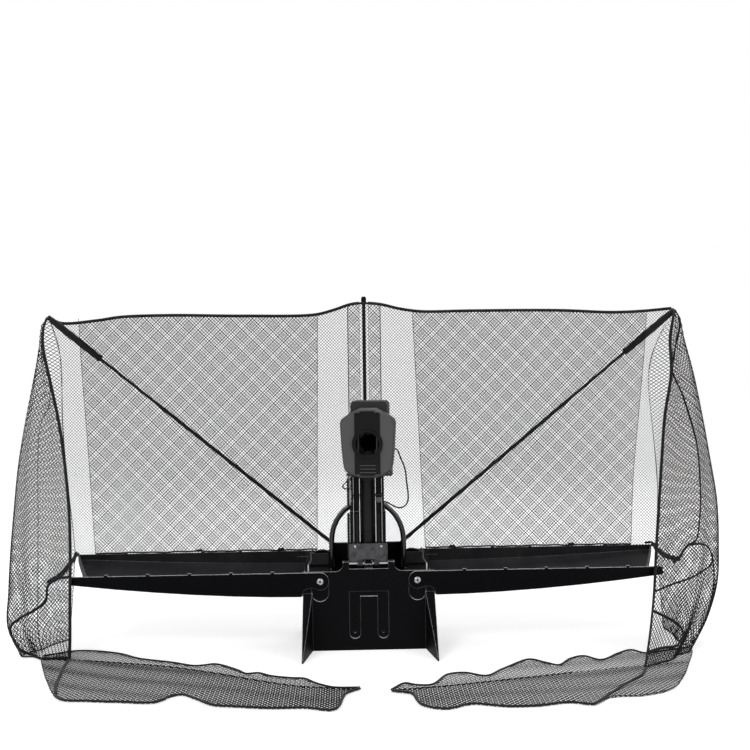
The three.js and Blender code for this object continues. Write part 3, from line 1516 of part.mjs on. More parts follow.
function curtainSection({ height, fold, hem }) {
  const floor = clothFloor + flapThick + gap;
  const z = floor + (curtainTop - floor) * height;
  const place = ([across, forward]) => new THREE.Vector2(
    netShoulder + across * curtainReach,
    poleY - forward * curtainForward,
  );
  const startX = z > netBottom ? netEdgeAt(z) - strand * half : netEdgeAt(netBottom);
  const startY = z > netBottom ? backNetFront - gap : backNetFront - gap - (netBottom - z) * half;
  const start = new THREE.Vector2(startX, startY);
  const curve = new THREE.SplineCurve([
    start,
    start.clone().lerp(place(fold), half).add(new THREE.Vector2(strand, 0)),
    place(fold),
    place(fold).lerp(place(hem), half).add(new THREE.Vector2(-strand, -strand)),
    place(hem),
  ]);
  const steps = 12;
  const middle = curve.getPoints(steps);
  const near = [];
  const far = [];
  middle.forEach((point, i) => {
    const before = middle[Math.max(i - 1, 0)];
    const after = middle[Math.min(i + 1, steps)];
    const along = after.clone().sub(before).normalize();
    const across = new THREE.Vector2(-along.y, along.x);
    const side = across.clone().multiplyScalar(clothThick * half);
    const wave = Math.sin(i / steps * curtainFolds * Math.PI * 2) * Math.sin(i / steps * Math.PI);
    point.addScaledVector(across, wave * curtainFoldDepth * (1 - height * half));
    near.push(new THREE.Vector3(point.x + side.x, Math.min(point.y + side.y, startY), z));
    far.push(new THREE.Vector3(point.x - side.x, Math.min(point.y - side.y, startY), z));
  });
  return [...near, ...far.reverse()];
}

function netWingRight() {
  return loft([...curtainShares].reverse().map(curtainSection), true);
}

// Lower strips of the net, spread on the table with waved edges. Places are shares of their length and depth.
const flapInner = 26;
const flapOuter = 800;
const flapBack = -88;
const flapFront = -500;
const flapLeftShares = [
  [0, 0.653], [0.063, 0.636], [0.127, 0.595], [0.194, 0.471], [0.245, 0.461], [0.315, 0.364],
  [0.362, 0.354], [0.447, 0.189], [0.496, 0.226], [0.589, 0.119], [0.69, 0.041], [0.809, -0],
  [0.939, 0.002], [1, 0.012], [0.925, 0.272], [0.889, 0.65], [0.836, 0.735], [0.711, 0.784],
  [0.593, 0.808], [0.506, 0.718], [0.419, 0.862], [0.341, 0.927], [0.261, 0.942], [0.16, 0.976],
  [0.071, 0.951], [0, 0.757],
];
const flapRightShares = [
  [0.018, 0.709], [0.093, 0.636], [0.136, 0.636], [0.233, 0.461], [0.324, 0.485], [0.393, 0.359],
  [0.459, 0.248], [0.543, 0.342], [0.637, 0.175], [0.68, 0.245], [0.742, 0.126], [0.805, 0.07],
  [0.867, 0.058], [0.987, 0.058], [0.886, 0.272], [0.795, 0.512], [0.69, 0.745], [0.574, 0.971],
  [0.508, 0.92], [0.419, 0.995], [0.332, 0.995], [0.26, 0.91], [0.177, 1], [0.103, 0.905], [0.057, 0.854],
  [0.018, 0.757],
];

function netFlap(shares, side) {
  const outline = shares.map(([u, v]) => [
    side * (flapInner + (flapOuter - flapInner) * u),
    flapBack + (flapFront - flapBack) * v,
  ]);
  return shown(slab('z', outline, clothFloor, clothFloor + flapThick));
}

// The base
add('base_housing', baseHousing(), satinBlack);
add('base_plate', basePlate(), deepBlack);
add('rear_cover', rearCover(), satinBlack);
add('hopper_bowl', hopperBowl(), deepBlack);
add('lift_elbow', liftElbow(), deepBlack);
add('feed_disc', feedDisc(), slateGrey);
add('feed_gear', feedGear(), nylon);
add('feed_pinion', feedPinion(), brass);
add('feed_motor', feedMotor(), steel);
add('control_board', controlBoard(), boardGreen);
add('control_socket', inlet(controlSocketX, socketWidth), deepBlack);
add('power_socket', inlet(powerSocketX, powerSocketWidth), deepBlack);
add('hopper_bridge', hopperBridge(), satinBlack);
add('carry_handle', carryHandle(), satinBlack);
add('hinge_axle', hingeAxle(), steel);

// The poles and the trays
add('centre_pole_socket', centrePoleSocket(), deepBlack);
add('centre_pole', centrePole(), satinBlack);
add('centre_pole_cap', centrePoleCap(), deepBlack);
const mirroredPieces = [
  ['tray', trayRight(), satinBlack],
  ['pivot_screw', pivotScrewRight(), steel],
  ['pole_tube', poleTubeRight(), satinBlack],
  ['pole_rod', poleRodRight(), satinBlack],
  ['pole_sleeve', poleSleeveRight(), netBlack],
  ['net_back', netBackRight(), netBlack],
  ['net_inner', netInnerRight(), netBlack],
  ['net_wing', netWingRight(), netBlack],
];
for (const [name, geometry, finish] of mirroredPieces) {
  add(`${name}_right`, geometry, finish);
  add(`${name}_left`, mirrored(geometry), finish);
}
add('net_centre', netCentre(), netBlack);
add('net_flap_right', netFlap(flapRightShares, 1), netBlack);
add('net_flap_left', netFlap(flapLeftShares, -1), netBlack);

// The tower
add('foot_plate', footPlate(), slateGrey);
add('lower_mast', lowerMast(), slateGrey);
add('lower_duct', lowerDuct(), deepBlack);
add('conduit_lower', ribbedConduit(conduitBottom, conduitTop, conduitY), rubber);
add('lock_knob', lockKnob(), steel);
add('upper_mast', upperMast(), slateGrey);
add('upper_duct', upperDuct(), deepBlack);
add('conduit_upper', ribbedConduit(conduitUpperBottom, conduitUpperTop, conduitUpperY), rubber);
add('head_cable_right', cable(cableRightRoute, cableRightRadius, 8, 28), rubber);
add('head_cable_left', cable(cableLeftRoute, cableLeftRadius, 8, 12), rubber);

// The head, turned a little to one side about the duct's axis, with its middle to the right of that axis
const head = new THREE.Group();
head.rotation.z = headPan;
robot.add(head);
const headBody = new THREE.Group();
headBody.position.x = headShift;
head.add(headBody);
add('head_yoke', headYoke(), slateGrey, head);
add('tilt_knob', tiltKnob(), deepBlack, headBody);
add('head_rear_cover', headRearCover(), deepBlack, headBody);
add('head_elbow', headElbow(), deepBlack, head);
add('head_chassis', headChassis(), steel, headBody);
add('head_front_shell', headFrontShell(), slateGrey, headBody);
add('front_fascia', frontFascia(), deepBlack, headBody);
add('outlet_ring', outletRing(), satinBlack, headBody);
add('upper_wheel', throwWheel(shellCentre + wheelRise), rubber, headBody);
add('lower_wheel', throwWheel(shellCentre - wheelRise), rubber, headBody);
add('upper_motor', throwMotor(shellCentre + wheelRise), steel, headBody);
add('lower_motor', throwMotor(shellCentre - wheelRise), steel, headBody);

export default robot;
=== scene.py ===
"""Finishes, netting and small fittings for a table tennis robot with folding ball trays.

Metres, +Z up, +X to the right of a player who faces the robot, +Y away from that player. Tables of points are
in millimetres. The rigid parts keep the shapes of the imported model. The netting, its tapes and pockets, the
two cables and the small fittings are worked out here.
"""

import json
import math

import bmesh
import bpy
import numpy as np
from mathutils import Matrix

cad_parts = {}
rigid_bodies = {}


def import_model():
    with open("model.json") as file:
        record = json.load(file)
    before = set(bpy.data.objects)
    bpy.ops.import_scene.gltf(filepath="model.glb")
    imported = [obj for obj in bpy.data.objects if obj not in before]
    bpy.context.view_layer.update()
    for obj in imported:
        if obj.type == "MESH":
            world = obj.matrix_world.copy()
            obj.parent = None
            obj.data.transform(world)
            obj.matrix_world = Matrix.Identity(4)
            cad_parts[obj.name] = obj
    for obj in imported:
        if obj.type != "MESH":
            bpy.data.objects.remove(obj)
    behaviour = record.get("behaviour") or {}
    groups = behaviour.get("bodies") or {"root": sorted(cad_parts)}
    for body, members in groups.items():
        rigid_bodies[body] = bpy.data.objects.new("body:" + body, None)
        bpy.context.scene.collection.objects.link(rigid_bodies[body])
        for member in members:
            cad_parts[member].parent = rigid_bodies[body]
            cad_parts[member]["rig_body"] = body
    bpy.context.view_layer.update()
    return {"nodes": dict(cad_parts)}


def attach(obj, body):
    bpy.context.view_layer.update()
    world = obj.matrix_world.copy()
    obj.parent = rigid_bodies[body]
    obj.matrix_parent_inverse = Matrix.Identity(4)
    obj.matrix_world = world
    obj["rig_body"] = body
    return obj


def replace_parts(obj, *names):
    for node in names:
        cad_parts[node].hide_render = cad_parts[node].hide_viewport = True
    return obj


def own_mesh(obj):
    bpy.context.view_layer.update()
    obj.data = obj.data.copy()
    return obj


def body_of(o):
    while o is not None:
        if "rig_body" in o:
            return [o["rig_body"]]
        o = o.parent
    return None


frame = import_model()
scene = bpy.context.scene


# Camera: where the photographer stood, and the three directions of the picture.
def set_camera():
    lens = bpy.data.cameras.new("studio_camera")
    lens.sensor_fit = "HORIZONTAL"
    lens.sensor_width = 36
    lens.lens = 47.55
    lens.clip_start, lens.clip_end = 0.05, 60
    camera = bpy.data.objects.new("studio_camera", lens)
    scene.collection.objects.link(camera)
    right, up = (0.99956, -0.026594, -0.013155), (0.013522, 0.013661, 0.999815)
    ahead, stand = (0.026410, 0.999553, -0.014014), (-0.0438, -2.5746, 0.7365)
    rows = [[right[i], up[i], -ahead[i], stand[i]] for i in range(3)]
    camera.matrix_world = Matrix(rows + [[0, 0, 0, 1]])
    scene.camera = camera


set_camera()


# Shapes: each one is (points, [faces, ...]), every faces array with one count of corners.
def through(points, spacing):
    """A smooth, evenly spaced line through points: the centripetal Catmull-Rom cubic between each two."""
    given = np.asarray(points, float)
    knots = np.concatenate([[0], np.cumsum(np.sqrt(np.linalg.norm(np.diff(given, axis=0), axis=1)))])
    given = np.vstack([2 * given[0] - given[1], given, 2 * given[-1] - given[-2]])
    knots = np.concatenate([[-knots[1]], knots, [2 * knots[-1] - knots[-2]]])
    parts = []
    for i in range(len(given) - 3):
        k, p = knots[i:i + 4], given[i:i + 4]
        count = max(int(np.linalg.norm(p[2] - p[1]) / spacing * 3), 4)
        t = np.linspace(k[1], k[2], count, endpoint=False)[:, None]

        def between(one, other, a, b):
            return ((k[b] - t) * one + (t - k[a]) * other) / (k[b] - k[a])

        first = [between(p[j], p[j + 1], j, j + 1) for j in range(3)]
        second = [between(first[j], first[j + 1], j, j + 2) for j in range(2)]
        parts.append(between(*second, 1, 2))
    dense = np.vstack(parts + [given[-2:-1]])
    run = np.concatenate([[0], np.cumsum(np.linalg.norm(np.diff(dense, axis=0), axis=1))])
    even = np.linspace(0, run[-1], max(int(round(run[-1] / spacing)), 2) + 1)
    return np.stack([np.interp(even, run, dense[:, i]) for i in range(dense.shape[1])], axis=1)


def unit(vectors):
    return vectors / np.maximum(np.linalg.norm(vectors, axis=-1, keepdims=True), 1e-12)


def bands(start, after, sides):
    """Quads between rings of `sides` points: start numbers each ring's first point, after the next ring's."""
    here = np.arange(sides)
    beside = (here + 1) % sides
    return np.stack([start + here, start + beside, after + beside, after + here], -1).reshape(-1, 4)


def rail(path, wide, deep, across, sides=8, swell=None):
    """A closed bar: an oval, half `wide` along the direction across and half `deep` the other way, carried
    along the path. swell multiplies the oval at each point of the path. Both ends close on the path's end
    points."""
    path = np.asarray(path, float)
    ahead = unit(np.gradient(path, axis=0))
    across = np.broadcast_to(np.asarray(across, float), path.shape)
    wide_way = unit(across - (across * ahead).sum(1, keepdims=True) * ahead)
    deep_way = np.cross(ahead, wide_way)
    swell = np.ones(len(path)) if swell is None else np.asarray(swell, float)
    turn = np.arange(sides) * 2 * math.pi / sides
    cos, sin = np.cos(turn)[None, :, None], np.sin(turn)[None, :, None]
    oval = wide * cos * wide_way[:, None] + deep * sin * deep_way[:, None]
    rings = path[:, None] + swell[:, None, None] * oval
    here = np.arange(sides)
    beside = (here + 1) % sides
    start = (np.arange(len(path) - 1) * sides)[:, None]
    quads = bands(start, start + sides, sides)
    last = (len(path) - 1) * sides
    low, high = len(path) * sides, len(path) * sides + 1
    caps = np.concatenate([
        np.stack([np.full(sides, low), beside, here], -1),
        np.stack([np.full(sides, high), last + here, last + beside], -1),
    ])
    return np.concatenate([rings.reshape(-1, 3), path[:1], path[-1:]]), [quads, caps]


def turned(foot, ahead, profile, sides=24, ripple=None, closed=False):
    """A surface of revolution about the line from foot along ahead: profile gives (distance, radius) pairs,
    and ripple(distance, angle) multiplies the radius. A profile that starts and ends at radius 0 closes at
    its poles; a closed profile joins its last ring to its first."""
    ahead = unit(np.asarray(ahead, float))
    side = unit(np.cross(ahead, (0, 0, 1) if abs(ahead[2]) < 0.9 else (0, 1, 0)))
    other = np.cross(ahead, side)
    profile = np.asarray(profile, float)
    angle = np.arange(sides) * 2 * math.pi / sides
    radius = profile[:, 1][:, None] * (ripple(profile[:, :1], angle[None, :]) if ripple else 1)
    round_way = np.cos(angle)[:, None] * side + np.sin(angle)[:, None] * other
    middle = np.asarray(foot, float) + profile[:, 0][:, None, None] * ahead
    rings = middle + radius[:, :, None] * round_way[None]
    count = len(profile)
    start = (np.arange(count if closed else count - 1) * sides)[:, None]
    return rings.reshape(-1, 3), [bands(start, (start + sides) % (count * sides), sides)]


def joined(*shapes):
    """Several shapes as one: their points in a row, each face's numbers raised by the points before it."""
    points, faces, count = [], [], 0
    for own, lists in shapes:
        points.append(own)
        faces += [numbers + count for numbers in lists]
        count += len(own)
    return np.concatenate(points), faces


def piece(name, shape, finish, body, smooth=True):
    """A mesh object of the shape, in the finish, that moves with the body."""
    points, lists = shape
    mesh = bpy.data.meshes.new(name)
    corners = np.concatenate([numbers.ravel() for numbers in lists]).astype(np.int32)
    counts = np.concatenate([np.full(len(numbers), numbers.shape[1]) for numbers in lists])
    mesh.vertices.add(len(points))
    mesh.vertices.foreach_set("co", np.ascontiguousarray(points, np.float32).ravel())
    mesh.loops.add(len(corners))
    mesh.loops.foreach_set("vertex_index", corners)
    mesh.polygons.add(len(counts))
    mesh.polygons.foreach_set("loop_start", (np.cumsum(counts) - counts).astype(np.int32))
    mesh.polygons.foreach_set("use_smooth", np.full(len(counts), smooth))
    mesh.update(calc_edges=True)
    mesh.validate()
    mesh.materials.append(finish)
    made = bpy.data.objects.new(name, mesh)
    scene.collection.objects.link(made)
    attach(made, body)
    return made


# Finishes
def node(tree, kind, links=(), **values):
    """A node of a kind, its named settings and inputs set, and its inputs linked to the given sockets."""
    made = tree.nodes.new(kind)
    for key, value in values.items():
        if key in made.inputs:
            made.inputs[key].default_value = value
        else:
            setattr(made, key, value)
    for key, socket in dict(links).items():
        tree.links.new(socket, made.inputs[key])
    return made


def blank(name):
    made = bpy.data.materials.new(name)
    made.use_nodes = True
    made.node_tree.nodes.clear()
    return made, made.node_tree


def noise(tree, place, scale, detail, roughness=0.5):
    return node(tree, "ShaderNodeTexNoise", {"Vector": place}, Scale=scale, Detail=detail,
                Roughness=roughness).outputs["Fac"]


def axis_of(tree, vector, axis):
    """One component of a vector: X, Y or Z."""
    return node(tree, "ShaderNodeSeparateXYZ", {"Vector": vector}).outputs[axis]


def remap(tree, value, *limits):
    """A value moved from the range of the first two limits to that of the last two, and held inside it."""
    ends = dict(zip(("From Min", "From Max", "To Min", "To Max"), limits))
    return node(tree, "ShaderNodeMapRange", {"Value": value}, **ends).outputs["Result"]


def times(tree, one, other, held=False):
    """The product of two values, held between 0 and 1 if asked."""
    return node(tree, "ShaderNodeMath", {0: one, 1: other}, operation="MULTIPLY", use_clamp=held).outputs[0]


def over(tree, share, under, upper):
    """The colour upper laid over the colour under by a share. Each is a socket, or red, green and blue."""
    made = node(tree, "ShaderNodeMix", {"Factor": share}, data_type="RGBA")
    for entry, colour in ((6, under), (7, upper)):
        if isinstance(colour, bpy.types.NodeSocket):
            tree.links.new(colour, made.inputs[entry])
        else:
            made.inputs[entry].default_value = (*colour, 1)
    return made.outputs[2]


def covered(made, tree, shade, bump, links, values):
    """The material itself: its colour, its bumps, and the shader's other inputs by name, linked or set."""
    links = {"Base Color": shade, "Normal": bump.outputs["Normal"], **links}
    shader = node(tree, "ShaderNodeBsdfPrincipled", links, **values)
    node(tree, "ShaderNodeOutputMaterial", {"Surface": shader.outputs["BSDF"]})
    return made


# Pale grey for upward faces: a little pale dust on the trays, a painted highlight on the handle tube. Then
# the paler grey for a tray's inside, and the dark of greasy patches.
DUST_AND_HIGHLIGHT = (0.42, 0.42, 0.43)
PALER_INSIDE = (0.42, 0.42, 0.44)
GREASE = (0.006, 0.006, 0.007)


def coated(name, colour, rough, grain, depth, metal=0.0, level=0.3, vary=0.18, edge=0.0008, stretch=(1, 1, 1),
           coat=0.0, edge_highlight=0.0, highlight_colour=(0.32, 0.32, 0.33), dust_and_highlight=0.0, inside=None, smear=0.0):
    """A moulded, painted or metal surface. Slow noise varies the colour by the share vary, middling noise the
    roughness, and fine noise of `grain` cells a metre, `depth` deep, is its texture. stretch draws the fine
    noise out along an axis, as brushing does. Edges catch the light as if rounded to the radius edge, and a
    painted highlight lightens them towards the colour highlight_colour by the share edge_highlight, unevenly,
    and most where they face up. Upward faces are painted paler by the share dust_and_highlight: pale dust on
    the trays, a painted highlight on the handle tube. inside, a place in depth and a share, makes all that
    lies behind that place paler in slow patches by that share, and mostly keeps the painted edge highlight
    off it. Greasy patches darken it by the share smear."""
    made, tree = blank(name)
    place = node(tree, "ShaderNodeTexCoord").outputs["Object"]
    slow, middle = noise(tree, place, 14.0, 4.0, 0.6), noise(tree, place, 60.0, 3.0)
    drawn = node(tree, "ShaderNodeMapping", {"Vector": place}, Scale=stretch).outputs["Vector"]
    soft = node(tree, "ShaderNodeBevel", samples=4, Radius=edge).outputs["Normal"]
    facing = node(tree, "ShaderNodeNewGeometry").outputs["Normal"]
    shade = over(tree, slow, [c * (1 - vary) for c in colour], [c * (1 + vary) for c in colour])
    # Upward faces painted paler: pale dust where the share is small, a painted highlight on the handle tube,
    # whose share is large.
    if dust_and_highlight:
        shade = over(tree, remap(tree, axis_of(tree, facing, "Z"), 0.1, 1.0, 0.0, dust_and_highlight), shade, DUST_AND_HIGHLIGHT)
    if smear:
        patches = noise(tree, place, 52.0, 5.0, 0.65)
        shade = over(tree, remap(tree, patches, 0.46, 0.62, 0.0, smear), shade, GREASE)
    if inside:
        behind = axis_of(tree, place, "Y")
        crossed = inside[0] - 0.0003, inside[0] + 0.0003
        shade = over(tree, times(tree, remap(tree, behind, *crossed, 0.0, inside[1]), slow), shade, PALER_INSIDE)
    # Painted highlight: a pale colour laid along the edges, strongest where they face up, for the light that
    # rounded edges catch.
    if edge_highlight:
        bend = node(tree, "ShaderNodeVectorMath", {0: soft, 1: facing}, operation="DOT_PRODUCT")
        wear_and_highlight = remap(tree, bend.outputs["Value"], 0.99, 0.86, 0.0, 2 * edge_highlight)
        highlight_share = times(tree, remap(tree, axis_of(tree, soft, "Z"), 0.3, 0.75, 0.12, 1.4), middle)
        if inside:
            highlight_share = times(tree, remap(tree, behind, *crossed, 1.0, 0.15), highlight_share)
        shade = over(tree, times(tree, wear_and_highlight, highlight_share, held=True), shade, highlight_colour)
    fine = noise(tree, drawn, grain, 2.0)
    bump = node(tree, "ShaderNodeBump", {"Height": fine, "Normal": soft}, Strength=0.6, Distance=depth)
    gloss = remap(tree, middle, 0.0, 1.0, rough - 0.06, rough + 0.08)
    shine = {"Metallic": metal, "Specular IOR Level": level, "Coat Weight": coat}
    return covered(made, tree, shade, bump, {"Roughness": gloss}, shine)


def woven(name, colour, pitch, depth):
    """Cloth: two crossed waves, one thread every `pitch` metres, darken the gaps and raise the threads by
    `depth`; slow noise fades it and a sheen stands for the fibres."""
    made, tree = blank(name)
    place = node(tree, "ShaderNodeTexCoord").outputs["Object"]
    threads = [node(tree, "ShaderNodeTexWave", {"Vector": place}, Scale=1 / pitch / 2, Distortion=0.4,
                    bands_direction=way).outputs["Fac"] for way in ("X", "Z")]
    weave = node(tree, "ShaderNodeMath", {0: threads[0], 1: threads[1]}, operation="MAXIMUM").outputs[0]
    wear_and_highlight = times(tree, weave, noise(tree, place, 35.0, 3.0))
    shade = over(tree, wear_and_highlight, [c * 0.55 for c in colour], [c * 1.7 for c in colour])
    bump = node(tree, "ShaderNodeBump", {"Height": weave}, Strength=0.5, Distance=depth)
    fuzz = {"Roughness": 0.85, "Specular IOR Level": 0.15, "Sheen Weight": 0.25, "Sheen Roughness": 0.5}
    return covered(made, tree, shade, bump, {}, fuzz)


# Several finishes below paint a pale highlight along their edges, brightest where the edges face up.
satin_black = coated("satin black moulding", (0.0028, 0.0028, 0.0036), 0.5, 1500, 0.00004, level=0.06,
                     edge_highlight=1.0, edge=0.0024, highlight_colour=(0.85, 0.85, 0.88))
tray_black = coated("tray moulding", (0.0022, 0.0022, 0.0031), 0.46, 1300, 0.00005, level=0.05, edge_highlight=1.6,
                    edge=0.0028, highlight_colour=(0.95, 0.95, 1.0), dust_and_highlight=0.03, inside=(-0.0592, 0.075))
# The tray apron is painted far paler than the tray moulding: painted light for the lit trough floor it stands
# in for, which its upright faces don't catch.
apron_painted_light = coated("tray apron", (0.034, 0.034, 0.036), 0.5, 1300, 0.00005, level=0.1, edge_highlight=0.3, vary=0.3)
deep_black = coated("deep black moulding", (0.0026, 0.0026, 0.0032), 0.55, 1200, 0.00005, level=0.08,
                    edge_highlight=0.25)
gloss_black = coated("gloss black band", (0.0024, 0.0024, 0.003), 0.3, 700, 0.00001, level=0.15, coat=0.05,
                     edge_highlight=0.1)
ring_black = coated("outlet ring", (0.003, 0.003, 0.0036), 0.4, 900, 0.00002, level=0.15, edge_highlight=0.5,
                    edge=0.0009)
slate_face = coated("slate face moulding", (0.072, 0.070, 0.071), 0.5, 1600, 0.00005, level=0.35, vary=0.2,
                    edge_highlight=0.25)
duct_black = coated("duct moulding", (0.0085, 0.0085, 0.0095), 0.5, 1200, 0.00005, level=0.2, edge_highlight=0.3)
mast_sheet = coated("mast sheet", (0.0028, 0.0028, 0.0035), 0.4, 1100, 0.00004, level=0.07, vary=0.1,
                    stretch=(1, 1, 0.1), edge_highlight=1.0, edge=0.0014, highlight_colour=(0.6, 0.6, 0.62))
slate_sheet = coated("slate painted sheet", (0.022, 0.022, 0.024), 0.42, 1100, 0.00004, level=0.35, vary=0.1,
                     edge_highlight=0.4)
foot_slate = coated("foot plate slate", (0.062, 0.062, 0.066), 0.42, 1000, 0.00006, level=0.4, vary=0.4,
                    edge_highlight=0.5, smear=0.75)
cover_grey = coated("cover moulding", (0.022, 0.022, 0.024), 0.55, 1600, 0.00008, level=0.3, vary=0.25,
                    edge_highlight=0.2)
pole_black = coated("coated pole", (0.005, 0.005, 0.0058), 0.4, 800, 0.00002, level=0.3)
# The handle tube's upward faces are painted nearly white: a painted highlight for the light on its top.
tube_black = coated("handle tube", (0.006, 0.006, 0.007), 0.18, 600, 0.00002, level=0.3, coat=0.25, dust_and_highlight=0.8)
bright_steel = coated("bright steel", (0.62, 0.62, 0.63), 0.24, 500, 0.00002, metal=1.0, stretch=(1, 1, 12),
                      vary=0.08)
screw_steel = coated("screw steel", (0.45, 0.45, 0.46), 0.32, 600, 0.00003, metal=1.0, vary=0.15)
knob_steel = coated("dark steel", (0.09, 0.09, 0.095), 0.38, 700, 0.00003, metal=1.0, vary=0.2, edge_highlight=0.5)
plain_brass = coated("brass", (0.52, 0.36, 0.13), 0.3, 500, 0.00002, metal=1.0, vary=0.08)
white_nylon = coated("white nylon", (0.68, 0.68, 0.64), 0.5, 900, 0.00004, vary=0.05)
board_green = coated("lacquered board", (0.02, 0.12, 0.05), 0.3, 900, 0.00002)
wheel_rubber = coated("wheel rubber", (0.014, 0.014, 0.014), 0.8, 1800, 0.0001, level=0.2)
cable_rubber = coated("cable sheath", (0.012, 0.012, 0.013), 0.5, 900, 0.00003, level=0.3)
net_yarn = coated("net yarn", (0.008, 0.008, 0.009), 0.75, 2500, 0.00006, level=0.15, edge=0.0001)
net_tape = woven("net tape", (0.010, 0.010, 0.011), 0.0012, 0.0002)
pocket_cloth = woven("pocket cloth", (0.009, 0.009, 0.010), 0.0016, 0.0003)


# Cables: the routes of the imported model
def cable(name, points, radius, length):
    """One open curve through the route's points, each handle a third of the way to the next point."""
    route = through(points, length / 24)
    curve = bpy.data.curves.new(name, "CURVE")
    curve.dimensions = "3D"
    curve.bevel_depth = radius
    curve.bevel_resolution = 4
    curve.resolution_u = 6
    curve.use_fill_caps = True
    spline = curve.splines.new("BEZIER")
    spline.bezier_points.add(len(route) - 1)
    third = np.gradient(route, axis=0) / 3
    spline.bezier_points.foreach_set("co", route.ravel())
    spline.bezier_points.foreach_set("handle_left", (route - third).ravel())
    spline.bezier_points.foreach_set("handle_right", (route + third).ravel())
    curve.materials.append(cable_rubber)
    made = bpy.data.objects.new(name, curve)
    scene.collection.objects.link(made)
    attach(made, "mast")
    return made


right_route = np.array([
    (74.5, 5.6, 508), (77.5, 5.25, 508), (81.5, 4.9, 502), (85, 4.4, 492), (90, 3, 479), (96, 1, 465),
    (100.5, -2, 447), (102, -4, 430), (103.5, -6, 413), (106, -8, 392), (105, -8, 372), (97, -6, 359),
    (84, -4, 354), (68, -2, 359), (54, -1, 367), (45, -1, 371), (42.9, -1, 371)]) / 1000
left_route = np.array([
    (-48.5, -4, 439.7), (-48.5, -4, 436), (-50, -4.5, 430), (-56, -5.5, 422), (-62.5, -6, 415),
    (-62.5, -5.5, 408.5), (-55, -4, 405.5), (-47, -3, 405), (-42.9, -3, 405)]) / 1000
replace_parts(cable("wheel_cable", right_route, 0.002, 0.217), "head_cable_right")
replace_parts(cable("sensor_cable", left_route, 0.00175, 0.057), "head_cable_left")


# Netting. For each kind: half the diamond's width, and the yarn's width.
LAYER = (0.005, 0.0012)
BACK = (0.0043, 0.00105)
SIDE = {"left": (0.005, 0.0016), "right": (0.0049, 0.0017)}
STRIP = (0.0056, 0.0012)
WEAVE = 0.32


def netting(place, reach, clip, shift=0.0, make=LAYER):
    """Diamond netting on a cloth whose place(across, up) gives points. make is half the diamond's width and
    the yarn's width. Strands cross at every second point of a square grid, half the diamond's width from line
    to line and shifted by the share shift. Each strand is a three-sided yarn, a ring of three points about
    each crossing, and runs over and under by turns, by WEAVE of its width. clip moves a crossing that is off
    the cloth to its edge and says which ones are on it."""
    cell, yarn = make
    spans = [np.arange(math.floor(low / cell) - 1, math.ceil(high / cell) + 2) for low, high in reach]
    i, j = np.meshgrid(*spans, indexing="ij")
    crossing = (i + j) % 2 == 0
    across, up, on_cloth = clip((i + shift) * cell, (j + shift) * cell)
    on_cloth = on_cloth & crossing
    step = 1e-4
    middle = place(across, up)
    along_a = place(across + step, up) - place(across - step, up)
    along_b = place(across, up + step) - place(across, up - step)
    facing = unit(np.cross(along_a, along_b))
    radius = yarn * math.pi / (3 * math.sqrt(3))
    turn = np.radians([90, 210, 330])
    count = i.size * 3
    number = np.arange(i.size).reshape(i.shape) * 3
    rings, quads = [], []
    for family, way in enumerate((1, -1)):
        ahead = unit(along_a + way * along_b)
        side = np.cross(facing, ahead)
        over_under = (way * (1 - 2 * (j % 2)) * WEAVE * yarn)[..., None]
        ring = (middle + over_under * facing)[..., None, :] + radius * (
            np.cos(turn)[:, None] * side[..., None, :] + np.sin(turn)[:, None] * facing[..., None, :])
        rings.append(ring.reshape(-1, 3))
        near, far = (np.s_[:-1, :-1], np.s_[1:, 1:]) if way == 1 else (np.s_[:-1, 1:], np.s_[1:, :-1])
        used = crossing[near] & (on_cloth[near] | on_cloth[far])
        a, b = number[near][used] + family * count, number[far][used] + family * count
        for k in range(3):
            n = (k + 1) % 3
            quads.append(np.stack([a + k, a + n, b + n, b + k], -1))
    points, quads = np.concatenate(rings), np.concatenate(quads)
    kept, quads = np.unique(quads, return_inverse=True)
    return points[kept], [quads.reshape(-1, 4)]


def cut(low_a, high_a, low_b, high_b):
    """The cloth's edges as a clip: across runs between two lines that depend on up, and up between two lines
    that depend on across."""
    def clip(across, up):
        kept = (across > low_a(up)) & (across < high_a(up)) & (up > low_b(across)) & (up < high_b(across))
        across = np.clip(across, low_a(up), high_a(up))
        return across, np.clip(up, low_b(across), high_b(across)), kept
    return clip


def traced(table, spacing):
    """A smooth line through a table's points, which are in millimetres, or in thousandths for a share."""
    return through(np.array(table) / 1000, spacing)


def line(table, by=0, gives=1):
    """A smooth line through a table's points as a function: the place along one axis gives the other."""
    fine = traced(table, 0.004)
    fine = fine[np.argsort(fine[:, by])]
    return lambda place: np.interp(place, fine[:, by], fine[:, gives])


def flat(value):
    return lambda place: np.full_like(np.asarray(place, float), value)


# For each side: the top hem (outward, up), the back edge (outward, up), and the second layer's two edges.
top_hem = {
    "left": line([(-50, 897), (0, 899), (35, 896), (85, 880), (136, 868), (338, 867), (537, 871),
                  (672, 868), (738, 859), (838, 853), (870, 868), (890, 872)]),
    "right": line([(-50, 897), (0, 899), (46, 895), (95, 883), (136, 876), (174, 873), (297, 874),
                   (550, 872), (701, 865), (792, 868), (852, 873), (890, 876)]),
}
back_edge = {
    "left": line([(874, 900), (868, 862), (850, 800), (839, 740), (839, 585), (831, 446), (817, 307),
                  (810, 218), (806, 150)], by=1, gives=0),
    "right": line([(876, 900), (864, 862), (832, 800), (806, 735), (798, 673), (804, 589), (815, 476),
                   (821, 391), (820, 300), (816, 218), (812, 150)], by=1, gives=0),
}
inner_start = {"left": line([(128, 880), (138, 200)], 1, 0), "right": line([(134, 880), (163, 200)], 1, 0)}
inner_end = {
    "left": line([(786, 900), (780, 758), (764, 500), (748, 200)], 1, 0),
    "right": line([(790, 900), (786, 808), (766, 600), (747, 406), (738, 200)], 1, 0),
}
